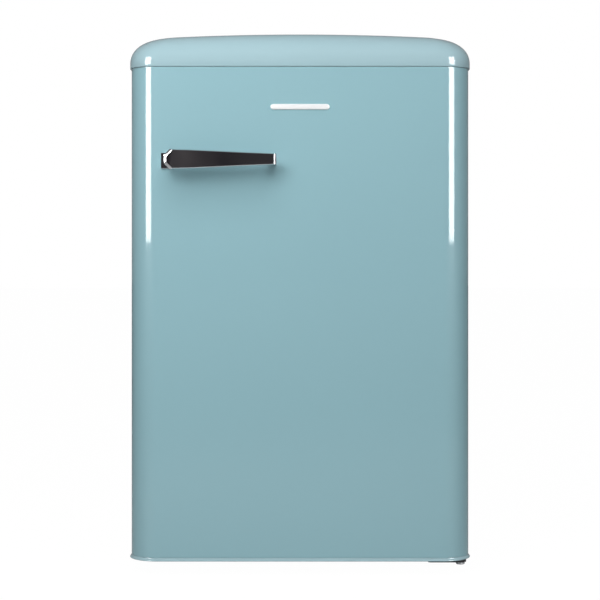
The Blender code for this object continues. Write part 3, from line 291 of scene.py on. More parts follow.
def toughened_glass():
    """Clear panes that turn green and denser at their cut edges."""
    made = Finish("toughened_glass")
    normal = made.node("ShaderNodeNewGeometry", output="Normal")
    upright = made.node("ShaderNodeSeparateXYZ", values={"Vector": normal}, output="Z")
    flat = upright.math("ABSOLUTE").between(0.5, 0.9)
    smear = made.noise(7, 3.0, 0.6)
    return made.surface(Base_Color=made.mix(flat, (0.2, 0.5, 0.4), (0.78, 0.9, 0.87)),
                        Roughness=smear * 0.05 + 0.02, IOR=1.52, Alpha=0.88 - flat * 0.62)


def galvanised():
    """Zinc coating with broad crystals, fine brushing and a few dull patches."""
    made = Finish("galvanised")
    crystal = made.cells(70, "Color")
    facet = made.node("ShaderNodeSeparateColor", values={"Color": crystal})
    dull = made.noise(6, 3.0, 0.6)
    fine = made.noise(900)
    return made.surface(Base_Color=made.mix(facet, (0.47, 0.48, 0.5), (0.64, 0.65, 0.66)), Metallic=0.9,
                        Roughness=facet * 0.12 + dull * 0.14 + 0.24, Normal=made.relief(fine, 0.00003, 0.3))


def black_enamel():
    """Stoved black enamel with orange peel, worn a little grey, and dust on what faces up."""
    made = Finish("black_enamel")
    worn, peel = made.noise(60, 4.0, 0.65).between(0.62, 0.78), made.noise(520)
    dust = made.upward() * made.noise(35, 4.0, 0.7).between(0.3, 0.8)
    coat = made.mix(worn, (0.018, 0.018, 0.02), (0.045, 0.045, 0.047))
    return made.surface(Base_Color=made.mix(dust * 0.45, coat, (0.26, 0.25, 0.23)),
                        Roughness=dust * 0.3 + worn * 0.1 + 0.28, Normal=made.relief(peel, 0.00008, 0.4))


def frosted_enamel():
    """White enamelled aluminium, cool and slightly hazed as if by old frost."""
    made = Finish("frosted_enamel")
    haze, grain = made.noise(18, 4.0, 0.6), made.noise(700)
    return made.surface(Base_Color=made.mix(haze, (0.76, 0.8, 0.82), (0.86, 0.88, 0.89)),
                        Roughness=haze * 0.22 + 0.22, Metallic=0.15, Normal=made.relief(grain, 0.00005, 0.4))


def bare_copper():
    """Drawn copper, bright along its length and browned in patches."""
    made = Finish("bare_copper")
    brown, drawn = made.noise(45, 4.0, 0.65).between(0.42, 0.7), made.noise(600, 2.0, 0.5, (1, 1, 0.08))
    return made.surface(Base_Color=made.mix(brown, (0.78, 0.4, 0.25), (0.36, 0.17, 0.1)), Metallic=0.95,
                        Roughness=brown * 0.28 + 0.18, Normal=made.relief(drawn, 0.00004, 0.4))


def poured_foam():
    """Pale yellow insulation with open cells."""
    made = Finish("poured_foam")
    cells = made.cells(420, "Distance")
    cloud = made.noise(12, 3.0)
    return made.surface(Base_Color=made.mix(cloud, (0.78, 0.66, 0.38), (0.86, 0.75, 0.48)), Roughness=0.92,
                        Normal=made.relief(cells, 0.0008, 0.6))


def rubber(name, dark, light):
    """Soft rubber: matt, lightly talced, with a fine grain."""
    made = Finish(name)
    talc, grain = made.noise(28, 4.0, 0.6).between(0.35, 0.8), made.noise(1600)
    return made.surface(Base_Color=made.mix(talc, dark, light), Roughness=talc * 0.15 + 0.62, IOR=1.5,
                        Normal=made.relief(grain, 0.00006, 0.5))


FINISHES = {
    "teal_paint": paint("teal_lacquer", (0.268, 0.452, 0.5), 0.00004, 0.3),
    "teal_plastic": paint("teal_moulding", (0.335, 0.488, 0.532), 0.00002, 0.26),
    "chrome": chrome_plate(),
    "white_plastic": moulded("white_moulding", (0.78, 0.8, 0.8), (0.84, 0.86, 0.86), 0.26),
    "clear_plastic": clear_moulding(),
    "glass": toughened_glass(),
    "zinc_steel": galvanised(),
    "black_steel": black_enamel(),
    "ice_box_enamel": frosted_enamel(),
    "copper": bare_copper(),
    "foam": poured_foam(),
    "grey_rubber": rubber("grey_seal", (0.5, 0.51, 0.51), (0.6, 0.61, 0.61)),
    "black_rubber": rubber("black_rubber", (0.02, 0.02, 0.02), (0.05, 0.05, 0.048)),
    "dark_plastic": moulded("dark_moulding", (0.035, 0.035, 0.038), (0.055, 0.055, 0.06), 0.42, 900, 0.00006),
    "milky_plastic": moulded("milky_lamp", (0.84, 0.83, 0.76), (0.92, 0.91, 0.85), 0.2, 600, 0.00002),
}


# ---- mesh tools
def box(bm, low, high):
    """A box between two corners; gives its vertices."""
    low, high = Vector(low), Vector(high)
    place = Matrix.Translation((low + high) / 2) @ Matrix.Diagonal((*(high - low), 1))
    return bmesh.ops.create_cube(bm, size=1, matrix=place)["verts"]


def verts_in(items):
    return [item for item in items if isinstance(item, bmesh.types.BMVert)]


def faces_in(items):
    return [item for item in items if isinstance(item, bmesh.types.BMFace)]


def centred(node):
    """A node's lowest corner, highest corner and middle."""
    low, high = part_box(node)
    return low, high, (low + high) / 2


def spread(count, pitch):
    """Evenly spaced places with zero in their middle."""
    return [(i - (count - 1) / 2) * pitch for i in range(count)]


def edges_of(verts):
    return list({edge for vert in verts for edge in vert.link_edges})


def middle(item):
    return sum((vert.co for vert in item.verts), Vector()) / len(item.verts)


def block(low, high):
    """A new mesh with one box."""
    bm = bmesh.new()
    box(bm, low, high)
    return bm


def edges_along(bm, axis, test=lambda spot: True):
    """Edges that run along an axis and whose middle passes the test."""
    found = []
    for edge in bm.edges:
        run = edge.verts[1].co - edge.verts[0].co
        if abs(run[axis]) > 0.999 * run.length > 0 and test(middle(edge)):
            found.append(edge)
    return found


def rim(bm, axis, at, tolerance=1e-5):
    """Edges that lie in a plane across an axis."""
    return [edge for edge in bm.edges if all(abs(v.co[axis] - at) < tolerance for v in edge.verts)]


def faces_at(bm, axis, at, tolerance=1e-5):
    """Faces that lie in a plane across an axis."""
    return [face for face in bm.faces if all(abs(v.co[axis] - at) < tolerance for v in face.verts)]


def bevel(bm, edges, width, segments=3):
    edges = [edge for edge in edges if edge.is_valid]
    return bmesh.ops.bevel(bm, geom=edges, offset=width, segments=segments, profile=0.5, affect="EDGES",
                           material=-1, clamp_overlap=True)


def drop(bm, faces):
    bmesh.ops.delete(bm, geom=faces, context="FACES")


def slice_at(bm, axis, places):
    """Cuts the whole mesh across an axis at each place."""
    normal = Vector((axis == X, axis == Y, axis == Z))
    for place in places:
        bmesh.ops.bisect_plane(bm, geom=[*bm.verts, *bm.edges, *bm.faces], plane_co=normal * place,
                               plane_no=normal)


def push(bm, faces, offset):
    """Extrudes a group of faces by an offset and gives the new faces."""
    made = bmesh.ops.extrude_face_region(bm, geom=faces)["geom"]
    bmesh.ops.translate(bm, verts=verts_in(made), vec=offset)
    drop(bm, [face for face in faces if face.is_valid])
    return faces_in(made)


def fringe(bm, edges):
    """Extrudes edges in place and gives the new vertices."""
    return verts_in(bmesh.ops.extrude_edge_only(bm, edges=edges)["geom"])


def wall(bm, thickness, towards=None):
    """Gives an open skin a thickness away from its outer side, or from the side that looks towards."""
    bmesh.ops.recalc_face_normals(bm, faces=bm.faces)
    if towards:
        shown = sum((face.normal * face.calc_area() for face in bm.faces), Vector())
        if shown.dot(Vector(towards)) < 0:
            bmesh.ops.reverse_faces(bm, faces=bm.faces)
    bmesh.ops.solidify(bm, geom=bm.faces[:], thickness=thickness)


def bar(bm, low, high, width, segments=2):
    """A closed bar with eased edges."""
    verts = box(bm, low, high)
    bevel(bm, edges_of(verts), width, segments)


def draw_in(faces, draft):
    """Moves the border of a flat region across Y towards its middle, as a mould's draft does."""
    verts = {vert for face in faces for vert in face.verts}
    centre = sum((vert.co for vert in verts), Vector()) / len(verts)
    for vert in verts:
        vert.co.x -= math.copysign(draft, vert.co.x - centre.x)
        vert.co.z -= math.copysign(draft, vert.co.z - centre.z)


def join(bm, other):
    """Adds another mesh to this one and frees it."""
    mesh = bpy.data.meshes.new("joined")
    other.to_mesh(mesh)
    other.free()
    bm.from_mesh(mesh)
    bpy.data.meshes.remove(mesh)


def lathe(bm, centre, axis, profile, steps):
    """Spins a profile of places along the axis and radii round the axis through a centre."""
    centre, axis = Vector(centre), Vector(axis)
    across = axis.orthogonal().normalized()
    verts = [bm.verts.new(centre + axis * place + across * radius) for place, radius in profile]
    edges = [bm.edges.new(pair) for pair in zip(verts, verts[1:])]
    bmesh.ops.spin(bm, geom=verts + edges, cent=centre, axis=axis, dvec=(0, 0, 0), angle=2 * math.pi,
                   steps=steps, use_merge=True, use_duplicate=False)


def sharp(edges, limit):
    """The edges where two faces meet at more than an angle."""
    return [edge for edge in edges if edge.is_manifold and edge.calc_face_angle(0) > limit]


def hollow(bm, low, high, floor_round, segments, lip_round):
    """Makes a block a tray: no top, a rounded floor, a thin wall and an eased rim."""
    drop(bm, faces_at(bm, Z, high))
    bevel(bm, rim(bm, Z, low), floor_round, segments)
    wall(bm, WALL)
    bevel(bm, sharp(rim(bm, Z, high), 1), lip_round, 2)


def bars_round(bm, count, axis, centre, low, high, width):
    """Repeats a bar evenly round an axis through a centre."""
    for i in range(count):
        made = bmesh.new()
        bar(made, low, high, width, 1)
        turn = Matrix.Rotation(math.radians(360 * i / count), 3, axis)
        bmesh.ops.rotate(made, verts=made.verts, cent=(0, 0, 0), matrix=turn)
        bmesh.ops.translate(made, verts=made.verts, vec=centre)
        join(bm, made)


def copied(node):
    """A node's own mesh, merged and with its flat faces made whole."""
    bm = bmesh.new()
    bm.from_mesh(NODES[node].data)
    bmesh.ops.remove_doubles(bm, verts=bm.verts, dist=1e-6)
    bmesh.ops.dissolve_limit(bm, angle_limit=math.radians(1), verts=bm.verts, edges=bm.edges)
    return bm


def refined(name, node, width, segments, limit=0.6):
    """Stands for a node with its own shape, its hard edges eased."""
    bm = copied(node)
    bevel(bm, sharp(bm.edges, limit), width, segments)
    stand_in(name, bm, node, smooth=35)


def piece(name, bm, body, slot, *nodes, smooth=38, finish=None):
    """Turns a mesh into an object that rides on a body and stands for those nodes of the frame."""
    bmesh.ops.remove_doubles(bm, verts=bm.verts, dist=1e-6)
    bmesh.ops.recalc_face_normals(bm, faces=bm.faces)
    mesh = bpy.data.meshes.new(name)
    bm.to_mesh(mesh)
    bm.free()
    mesh.materials.append(finish or FINISHES[slot])
    mesh.shade_smooth()
    mesh.set_sharp_from_angle(angle=math.radians(smooth))
    obj = bpy.data.objects.new(name, mesh)
    show(obj)
    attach(obj, body)
    if nodes:
        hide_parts(*nodes)


def stand_in(name, bm, node, smooth=38):
    piece(name, bm, BODY_OF[node], SLOT_OF[node], node, smooth=smooth)


def turned(name, node, centre, axis, profile, steps, smooth):
    """Stands for a node with a shape spun round an axis."""
    bm = bmesh.new()
    lathe(bm, centre, axis, profile, steps)
    stand_in(name, bm, node, smooth)


# ---- top cover
def top_cover():
    """Domed cover: its outline rises straight, then shrinks along a quarter ellipse to a crowned top."""
    side_round, front_round, rear_round, crown = 0.044, 0.056, 0.014, 0.009
    steps, lower = 14, 0.0013
    low, high = cover_low - Vector((0, 0, lower)), cover_high
    straight = 0.0087 + lower
    rise = high.z - crown - low.z - straight
    bm = block(low, (high.x, high.y, low.z + straight))
    bevel(bm, edges_along(bm, Z, lambda spot: spot.y < 0), CORNER_RADIUS + 0.0025, 14)
    bevel(bm, edges_along(bm, Z, lambda spot: spot.y > 0.1), 0.004, 3)
    drop(bm, faces_at(bm, Z, low.z))
    faces = faces_at(bm, Z, low.z + straight)
    half, near, far, level = high.x, low.y, high.y, low.z + straight
    for step in range(1, steps + 1):
        turn = math.radians(90 * step / steps)
        fall = 1 - math.cos(turn)
        height = low.z + straight + rise * math.sin(turn)
        faces = push(bm, faces, (0, 0, height - level))
        new_half, new_near, new_far = (high.x - side_round * fall, low.y + front_round * fall,
                                       high.y - rear_round * fall)
        for vert in {vert for face in faces for vert in face.verts}:
            vert.co.x *= new_half / half
            vert.co.y = new_near + (vert.co.y - near) * (new_far - new_near) / (far - near)
        half, near, far, level = new_half, new_near, new_far, height
    slice_at(bm, X, [(-1 + i / 12) * 0.21 for i in range(25)])
    slice_at(bm, Y, [near + 0.03 + 0.04 * i for i in range(10)])
    for vert in bm.verts:
        share = max(0, (vert.co.z - low.z - straight) / rise)
        vert.co.z += crown * share * (1 - (vert.co.x / high.x) ** 2)
    wall(bm, WALL)
    bevel(bm, sharp(rim(bm, Z, low.z), 1), 0.0007, 2)
    piece("domed_cover", bm, "cabinet", "teal_plastic", "top_cover", smooth=50)


# ---- door outside
def door_panel():
    """Painted door skin: one sheet bent round both front edges, with narrow returns behind."""
    bm = bmesh.new()
    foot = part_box("door_bottom_cap")[0].z + LIP_HEIGHT + GAP
    box(bm, (door_low.x, door_low.y, foot), door_high)
    bevel(bm, edges_along(bm, Z, lambda spot: spot.y < DOOR_FRONT + 0.001), CORNER_RADIUS, 18)
    drop(bm, faces_at(bm, Z, foot) + faces_at(bm, Z, door_high.z) + faces_at(bm, Y, door_high.y))
    for side in (-1, 1):
        edge = edges_along(bm, Z, lambda spot: spot.x * side > 0 and spot.y > door_high.y - 1e-5)
        bmesh.ops.translate(bm, verts=fringe(bm, edge), vec=(-side * 0.01, 0, 0))
    slice_at(bm, X, [-0.15, -0.05, 0.05, 0.15])
    slice_at(bm, Z, [0.1 * i for i in range(1, 8)])
    wall(bm, SHEET)
    piece("door_panel", bm, "door", "teal_paint", "door_skin", smooth=30)


def outward(spot):
    """Direction away from the door's rounded plan; nothing at its back."""
    reach = HALF_WIDTH - CORNER_RADIUS
    core = Vector((max(-reach, min(reach, spot.x)), max(DOOR_FRONT + CORNER_RADIUS, spot.y), spot.z))
    away = spot - core
    return away.normalized() if away.length > 1e-6 else Vector()


def door_foot_moulding():
    """Moulded foot of the door: a plug inside the panel, with a lip that flares out and turns under."""
    low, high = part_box("door_bottom_cap")
    lip = low.z + LIP_HEIGHT
    bm = block((-HALF_WIDTH, DOOR_FRONT, lip - 0.0003), (HALF_WIDTH, high.y, lip))
    bevel(bm, edges_along(bm, Z, lambda spot: spot.y < DOOR_FRONT + 0.001), CORNER_RADIUS, 18)
    flare = ((0.0046, 0.0002), (0.004, 0.0006), (0.0033, 0.0012), (0.0026, 0.0018), (0.0019, 0.0023),
             (0.0013, 0.0026), (0.0008, 0.0026), (0.0004, 0.0021), (0.0001, 0.0012), (0.0, 0.0))
    faces = faces_at(bm, Z, lip - 0.0003)
    level, stood = lip - 0.0003, 0.0
    for height, reach in flare:
        faces = push(bm, faces, (0, 0, low.z + height - level))
        for vert in {vert for face in faces for vert in face.verts}:
            vert.co += outward(vert.co) * (reach - stood)
        level, stood = low.z + height, reach
    top = faces_at(bm, Z, lip)
    inner = bmesh.ops.inset_region(bm, faces=top, thickness=SHEET + GAP, use_even_offset=True)
    push(bm, [face for face in faces_at(bm, Z, lip) if face not in inner["faces"]], (0, 0, high.z - lip))
    piece("door_foot_moulding", bm, "door", "teal_plastic", "door_bottom_cap", smooth=50)


def bow_handle():
    """Tapered cast handle: long bevels at its ends, cut corners at the tall one, and two footed legs."""
    left, right = handle_low.x + 0.007, handle_high.x
    face, back = handle_low.y, handle_low.y + 0.012
    centre = (handle_low.z + handle_high.z) / 2
    cut, tall, short = 0.01, 0.016, 0.0088
    flat, slope = tall - cut, 0.0021
    bm = bmesh.new()
    upper = [(left, flat), (left + cut, tall), (left + 0.04, 0.0151), (left + 0.075, 0.0136),
             (left + 0.12, 0.0115), (right, short)]
    corners = [(x, -z) for x, z in upper] + upper[::-1]
    outline = bm.faces.new([bm.verts.new((x, back, centre + z)) for x, z in corners])
    bmesh.ops.duplicate(bm, geom=[outline])  # stays as the closed back
    sides = push(bm, [outline], (0, face + slope - back, 0))
    front = push(bm, sides, (0, -slope, 0))
    for vert in front[0].verts:
        side = 1 if vert.co.z > centre else -1
        if vert.co.x > right - 0.001:
            vert.co += Vector((-0.0031, 0, -side * 0.0009))
        elif vert.co.x < left + 0.001:
            vert.co += Vector((0.004, 0, -side * 0.0019))
        elif vert.co.x < left + cut + 0.001:
            vert.co += Vector((0.0043, 0, -side * 0.0016))
        else:
            vert.co.z -= side * 0.0014
    bmesh.ops.remove_doubles(bm, verts=bm.verts, dist=1e-6)
    bmesh.ops.recalc_face_normals(bm, faces=bm.faces)
    bevel(bm, sharp(bm.edges, 0.3), 0.0004, 2)
    bevel(bm, sharp(rim(bm, Y, back), 0.3), 0.001, 2)
    for low_x, high_x, foot_x, near, foot in ((left + 0.003, left + 0.015, left - 0.007, 0.0075, 0.0125),
                                              (right - 0.015, right - 0.003, right - 0.001, 0.005, 0.0075)):
        stem = box(bm, (low_x, back - 0.004, centre - near), (high_x, DOOR_FRONT - 0.002, centre + near))
        plate = box(bm, (min(low_x, foot_x), DOOR_FRONT - 0.0035, centre - foot),
                    (max(high_x, foot_x), DOOR_FRONT - GAP, centre + foot))
        bevel(bm, edges_of(stem), 0.0006, 2)
        bevel(bm, [edge for edge in edges_of(plate) if middle(edge).x > foot_x + 1e-4], 0.0006, 2)
    piece("bow_handle", bm, "door", "chrome", "door_handle", smooth=9)


def blank_nameplate():
    """Plain silvery bar in place of a name, with a rounded face."""
    low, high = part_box("nameplate")
    bm = block(low, high)
    bevel(bm, edges_along(bm, Y), (high.z - low.z) / 2 - 0.0001, 8)
    bevel(bm, rim(bm, Y, low.y), 0.0018, 5)
    piece("blank_nameplate", bm, "door", "chrome", "nameplate", smooth=60, finish=satin_silver())


# ---- cabinet shell
def cabinet_sheet():
    """Painted wrap: one sheet over both sides and the top, with its front flanges folded in."""
    low, high = wrap_low, wrap_high
    bm = block(low, high)
    drop(bm, faces_at(bm, Z, low.z) + faces_at(bm, Y, low.y) + faces_at(bm, Y, high.y))
    for vert in fringe(bm, rim(bm, Y, low.y)):
        vert.co.z -= FLANGE if vert.co.z > high.z - 1e-5 else 0
        vert.co.x -= math.copysign(FLANGE, vert.co.x)
    bevel(bm, sharp(bm.edges, 1), 0.0022, 4)
    slice_at(bm, Y, [-0.1, 0, 0.1, 0.2])
    wall(bm, SHEET)
    stand_in("cabinet_sheet", bm, "cabinet_wrap", smooth=30)


def rear_sheet():
    """Galvanised back with pressed stiffening fields."""
    low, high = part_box("back_panel")
    bm = block(low, high)
    slice_at(bm, X, [-0.23, -0.215, -0.008, 0.008, 0.215, 0.23])
    slice_at(bm, Z, [low.z + 0.02, low.z + 0.035, high.z - 0.035, high.z - 0.02])
    field = [face for face in faces_at(bm, Y, high.y)
             if 0.008 < abs(middle(face).x) < 0.215 and low.z + 0.035 < middle(face).z < high.z - 0.035]
    push(bm, field, (0, 0.0022, 0))
    bevel(bm, sharp(bm.edges, 0.8), 0.0004, 2)
    stand_in("rear_sheet", bm, "back_panel", smooth=30)


def cavity_liner():
    """Vacuum-formed liner: a stepped box with wide inner corners, a front lip and shelf rails."""
    outer_low, outer_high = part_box("inner_liner")
    half = liner_x
    front, back = outer_low.y, outer_high.y - LINER
    floor, ceiling = cavity_floor, cavity_ceiling
    step_front, step_top = crisper_high.y + 0.006, shelf_low("crisper_cover_glass") - 0.0025
    outline = ((front, floor), (step_front, floor), (step_front + 0.004, step_top), (back, step_top),
               (back, ceiling), (front, ceiling))
    bm = bmesh.new()
    profile = bm.faces.new([bm.verts.new((-half, y, z)) for y, z in outline])
    made = bmesh.ops.extrude_face_region(bm, geom=[profile])["geom"]
    bmesh.ops.translate(bm, verts=verts_in(made), vec=(2 * half, 0, 0))
    drop(bm, faces_at(bm, Y, front))
    bevel(bm, [edge for edge in bm.edges if edge.is_manifold], 0.012, 5)
    bmesh.ops.recalc_face_normals(bm, faces=bm.faces)
    lip = outer_high.x / half
    centre = (floor + ceiling) / 2
    for vert in fringe(bm, rim(bm, Y, front)):
        vert.co.x *= lip
        vert.co.z = centre + (vert.co.z - centre) * lip
    bevel(bm, [edge for edge in rim(bm, Y, front) if edge.is_manifold], 0.0012, 3)
    wall(bm, LINER, (0, -1, 0))
    for node, depth in (("crisper_cover_glass", step_front), ("lower_shelf_glass", back - 0.02),
                        ("upper_shelf_glass", back - 0.02)):
        level = shelf_low(node)
        for side in (-1, 1):
            bar(bm, (side * half - 0.01, trim_low.y + 0.01, level - 0.0123),
                (side * half + 0.01, depth, level - GAP), 0.003, 4)
            for tier in (0.03, 0.06):
                if node != "crisper_cover_glass":
                    bar(bm, (side * half - 0.0045, trim_low.y + 0.02, level - tier - 0.006),
                        (side * half + 0.0045, depth - 0.01, level - tier), 0.0025, 3)
    stand_in("cavity_liner", bm, "inner_liner", smooth=40)


# ---- inside of the door
def door_inner_panel():
    """Vacuum-formed door liner: flat flange, raised ridge all round and a recessed middle."""
    low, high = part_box("door_liner")
    back, crest = DOOR_BACK, high.y
    recess = back + 0.004
    bottom, top, width = cavity_floor + 0.0145, cavity_ceiling - 0.0145, 0.028
    half = liner_x - 0.0145
    bm = bmesh.new()
    bm.faces.new([bm.verts.new((x, back, z)) for x, z in
                  ((low.x, low.z), (high.x, low.z), (high.x, high.z), (low.x, high.z))])
    slice_at(bm, X, [-half, half])
    slice_at(bm, Z, [bottom, top])
    centre = [face for face in bm.faces if abs(middle(face).x) < 0.01 and bottom < middle(face).z < top]
    raised = push(bm, centre, (0, crest - back, 0))
    draw_in(raised, 0.003)
    bmesh.ops.inset_region(bm, faces=raised, thickness=width - 0.003, use_even_offset=True)
    sunk = push(bm, raised, (0, recess - crest, 0))
    draw_in(sunk, 0.003)
    corners = [edge for edge in bm.edges if abs((edge.verts[1].co - edge.verts[0].co).y) > 0.02]
    bevel(bm, corners, 0.013, 6)
    bevel(bm, sharp(bm.edges, 0.7), 0.0035, 3)
    wall(bm, 0.0015, (0, 1, 0))
    for node in BALCONIES:
        tray_low, tray_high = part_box(node)
        for side in (-1, 1):
            edge, inner = side * (half - width - 0.0008), side * (tray_high.x - 0.006)
            bar(bm, (min(edge, inner), recess + 0.006, tray_low.z - 0.008),
                (max(edge, inner), crest - 0.01, tray_low.z - GAP), 0.0018, 3)
    for z in (0.26, 0.34, 0.47, 0.54):
        bar(bm, (-0.15, recess - 0.001, z), (0.15, recess + 0.0012, z + 0.006), 0.0011, 3)
    stand_in("door_inner_panel", bm, "door_liner", smooth=40)


def door_seal():
    """Magnetic seal: a foot held under the liner, a thin neck and a hollow-looking face."""
    low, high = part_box("door_gasket")
    bm = bmesh.new()
    for inset, width, start, end in ((0.0016, 0.0108, 0.0, 0.003), (0.0045, 0.005, 0.0024, 0.0072),
                                     (0.0, 0.014, 0.006, 0.0103), (0.003, 0.008, 0.0098, 0.0114)):
        made = block((low.x + inset, low.y + start, low.z + inset),
                     (high.x - inset, low.y + end, high.z - inset))
        bevel(made, edges_along(made, Y), 0.01 - inset, 5)
        inner = faces_at(made, Y, low.y + start) + faces_at(made, Y, low.y + end)
        bmesh.ops.inset_region(made, faces=inner, thickness=width, use_even_offset=True)
        loops = list({edge for face in inner for edge in face.edges})
        drop(made, inner)
        bmesh.ops.bridge_loops(made, edges=[edge for edge in loops if edge.is_valid])
        bevel(made, sharp(made.edges, 1.2), 0.0007, 2)
        join(bm, made)
    stand_in("door_seal", bm, "door_gasket", smooth=45)


def door_trays():
    """Clear balconies: tapered trays with round front corners, a rolled rim and floor ribs."""
    for node in BALCONIES:
        low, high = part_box(node)
        bm = block(low, high)
        bevel(bm, edges_along(bm, Z, lambda spot: spot.y > high.y - 1e-5), 0.016, 7)
        bevel(bm, edges_along(bm, Z, lambda spot: spot.y < low.y + 1e-5), 0.003, 3)
        for vert in bm.verts:
            if vert.co.z < low.z + 1e-5:
                vert.co.x *= 1 - 0.004 / high.x
                vert.co.y -= 0.004 * (vert.co.y - low.y) / (high.y - low.y)
        hollow(bm, low.z, high.z, 0.005, 4, 0.0007)
        for x in spread(9, 0.04):
            bar(bm, (x - 0.001, low.y + 0.01, low.z + 0.001), (x + 0.001, high.y - 0.014, low.z + 0.0032),
                0.0006, 2)
        front = high.y - 0.0014
        for z in (high.z - 0.0075, high.z - 0.0115):
            bar(bm, (-0.165, front - 0.0012, z), (0.165, front + 0.0011, z + 0.0016), 0.0006, 2)
        stand_in(f"{node}_tray", bm, node, smooth=45)


# ---- shelves and drawers
def glass_shelves():
    """Toughened glass with round corners and arrised edges, each with a clip-on front trim."""
    for name in ("crisper_cover", "lower_shelf", "upper_shelf"):
        low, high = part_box(f"{name}_glass")
        bm = block(low, high)
        bevel(bm, edges_along(bm, Z), 0.005, 6)
        bevel(bm, rim(bm, Z, low.z) + rim(bm, Z, high.z), 0.0006, 2)
        stand_in(f"{name}_pane", bm, f"{name}_glass", smooth=50)
        refined(f"{name}_front_trim", f"{name}_trim", 0.0006, 3)


def crisper_box():
    """Clear drawer: tapered, round cornered, ribbed front and a finger grip across the middle of its top
    edge.
    """
    low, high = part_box("crisper_drawer")
    face = trim_low.y
    bm = block((low.x, face, low.z), high)
    bevel(bm, edges_along(bm, Z), 0.012, 6)
    draft = 0.008
    for vert in bm.verts:
        if vert.co.z < low.z + 1e-5:
            vert.co.x *= 1 - draft / high.x
            vert.co.y += draft * (1 - 2 * (vert.co.y - face) / (high.y - face))
    hollow(bm, low.z, high.z, 0.008, 5, 0.0007)
    bar(bm, (-0.075, low.y, high.z - 0.014), (0.075, face + 0.0015, high.z - 0.002), 0.0022, 4)
    for x in spread(15, 0.022):
        made = bmesh.new()
        bar(made, (x - 0.0012, face - 0.0008, low.z + 0.03), (x + 0.0012, face + 0.0012, high.z - 0.03),
            0.0006, 2)
        for vert in made.verts:
            vert.co.y += draft * 0.9 * (high.z - vert.co.z) / (high.z - low.z)
        join(bm, made)
    stand_in("crisper_box", bm, "crisper_drawer", smooth=45)


def freezer_compartment():
    """Enamelled evaporator sleeve with raised coolant channels, and its clear flap."""
    low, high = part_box("ice_box")
    bm = copied("ice_box")
    bevel(bm, sharp(bm.edges, 1.2), 0.0005, 2)
    floor = low.z + WALL
    for x in spread(6, 0.062):
        bar(bm, (x - 0.0045, -0.055, floor - 0.001), (x + 0.0045, high.y - 0.03, floor + 0.0014), 0.0013, 3)
    for y in (0.065 - 0.115, 0.065 + 0.115):
        bar(bm, (-0.16, y, floor - 0.001), (0.16, y + 0.008, floor + 0.0014), 0.0013, 3)
    stand_in("freezer_sleeve", bm, "ice_box", smooth=40)
    bm = copied("ice_box_door")
    bevel(bm, sharp(bm.edges, 1.2), 0.0009, 3)
    low, high, centre = centred("ice_box_door")
    face = low.y + 0.006
    for z in (centre.z - 0.045, centre.z + 0.043):
        bar(bm, (-0.17, face - 0.0009, z), (0.19, face + 0.0008, z + 0.0025), 0.0008, 2)
    for x in spread(9, 0.016):
        bar(bm, (x + 0.012 - 0.0008, face - 0.0008, centre.z - 0.018),
            (x + 0.012 + 0.0008, face + 0.0008, centre.z + 0.018), 0.0006, 2)
    stand_in("freezer_flap_panel", bm, "ice_box_door", smooth=40)


def control_unit():
    """Lamp and thermostat unit: housing, ribbed lens, bulb, numbered knob and door switch."""
    refined("control_case", "control_housing", 0.0012, 3, limit=1.2)
    low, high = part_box("lamp_lens")
    bm = bmesh.new()
    bar(bm, (low.x + 0.0012, low.y, low.z), high, 0.0006, 2)
    for i in range(24):
        y = low.y + 0.003 + i * (high.y - low.y - 0.006) / 23
        bar(bm, (low.x, y - 0.0013, low.z + 0.002), (low.x + 0.002, y + 0.0013, high.z - 0.002), 0.001, 3)
    stand_in("ribbed_lens", bm, "lamp_lens", smooth=50)
    low, high, centre = centred("lamp_bulb")
    turned("small_bulb", "lamp_bulb", (centre.x, low.y, centre.z), BACK, (
        (0, 0), (0.0005, 0.0035), (0.002, 0.0055), (0.003, 0.006), (0.0045, 0.0056), (0.006, 0.006),
        (0.0075, 0.0056), (0.009, 0.006), (0.012, 0.0058), (0.016, 0.0062), (0.024, 0.0074), (0.04, 0.0075),
        (0.055, 0.0072), (0.064, 0.0058), (0.069, 0.0038), (0.0715, 0.0018), (0.072, 0)), 32, 60)
    thermostat_knob()
    low, high, centre = centred("door_switch_button")
    turned("switch_plunger", "door_switch_button", (centre.x, low.y, centre.z), BACK, (
        (0, 0), (0.0002, 0.0018), (0.001, 0.003), (0.0022, 0.0036), (0.005, 0.0038),
        (high.y - low.y, 0.0038), (high.y - low.y, 0)), 28, 50)


def thermostat_knob():
    """Fluted knob with a grip across its face and raised figures from 1 to 6."""
    low, high, centre = centred("thermostat_knob")
    centre.x = high.x
    bm = bmesh.new()
    lathe(bm, centre, RIGHT, ((0, 0), (0, 0.0193), (-0.0012, 0.0195), (-0.009, 0.0188), (-0.0118, 0.018),
                              (-0.013, 0.0165), (-0.0133, 0.015), (-0.013, 0)), 60)
    bars_round(bm, 30, "X", centre, (-0.0105, -0.0007, 0.0178), (-0.001, 0.0007, 0.0192), 0.0005)
    bar(bm, (low.x, centre.y - 0.0025, centre.z - 0.016),
        (centre.x - 0.01, centre.y + 0.0025, centre.z + 0.016), 0.0016, 4)
    stand_in("thermostat_dial", bm, "thermostat_knob", smooth=40)
    numbers = bmesh.new()
    upright = Matrix(((0, 0, -1), (-1, 0, 0), (0, 1, 0))).to_4x4()
    for i in range(6):
        turn = math.radians(60 * i + 30)
        spot = centre + Vector((-0.0132, 0.0112 * math.sin(turn), 0.0112 * math.cos(turn)))
        join(numbers, figure(str(i + 1), 0.0046, Matrix.Translation(spot) @ upright))
    piece("dial_numbers", numbers, "knob", "dark_plastic", smooth=30)


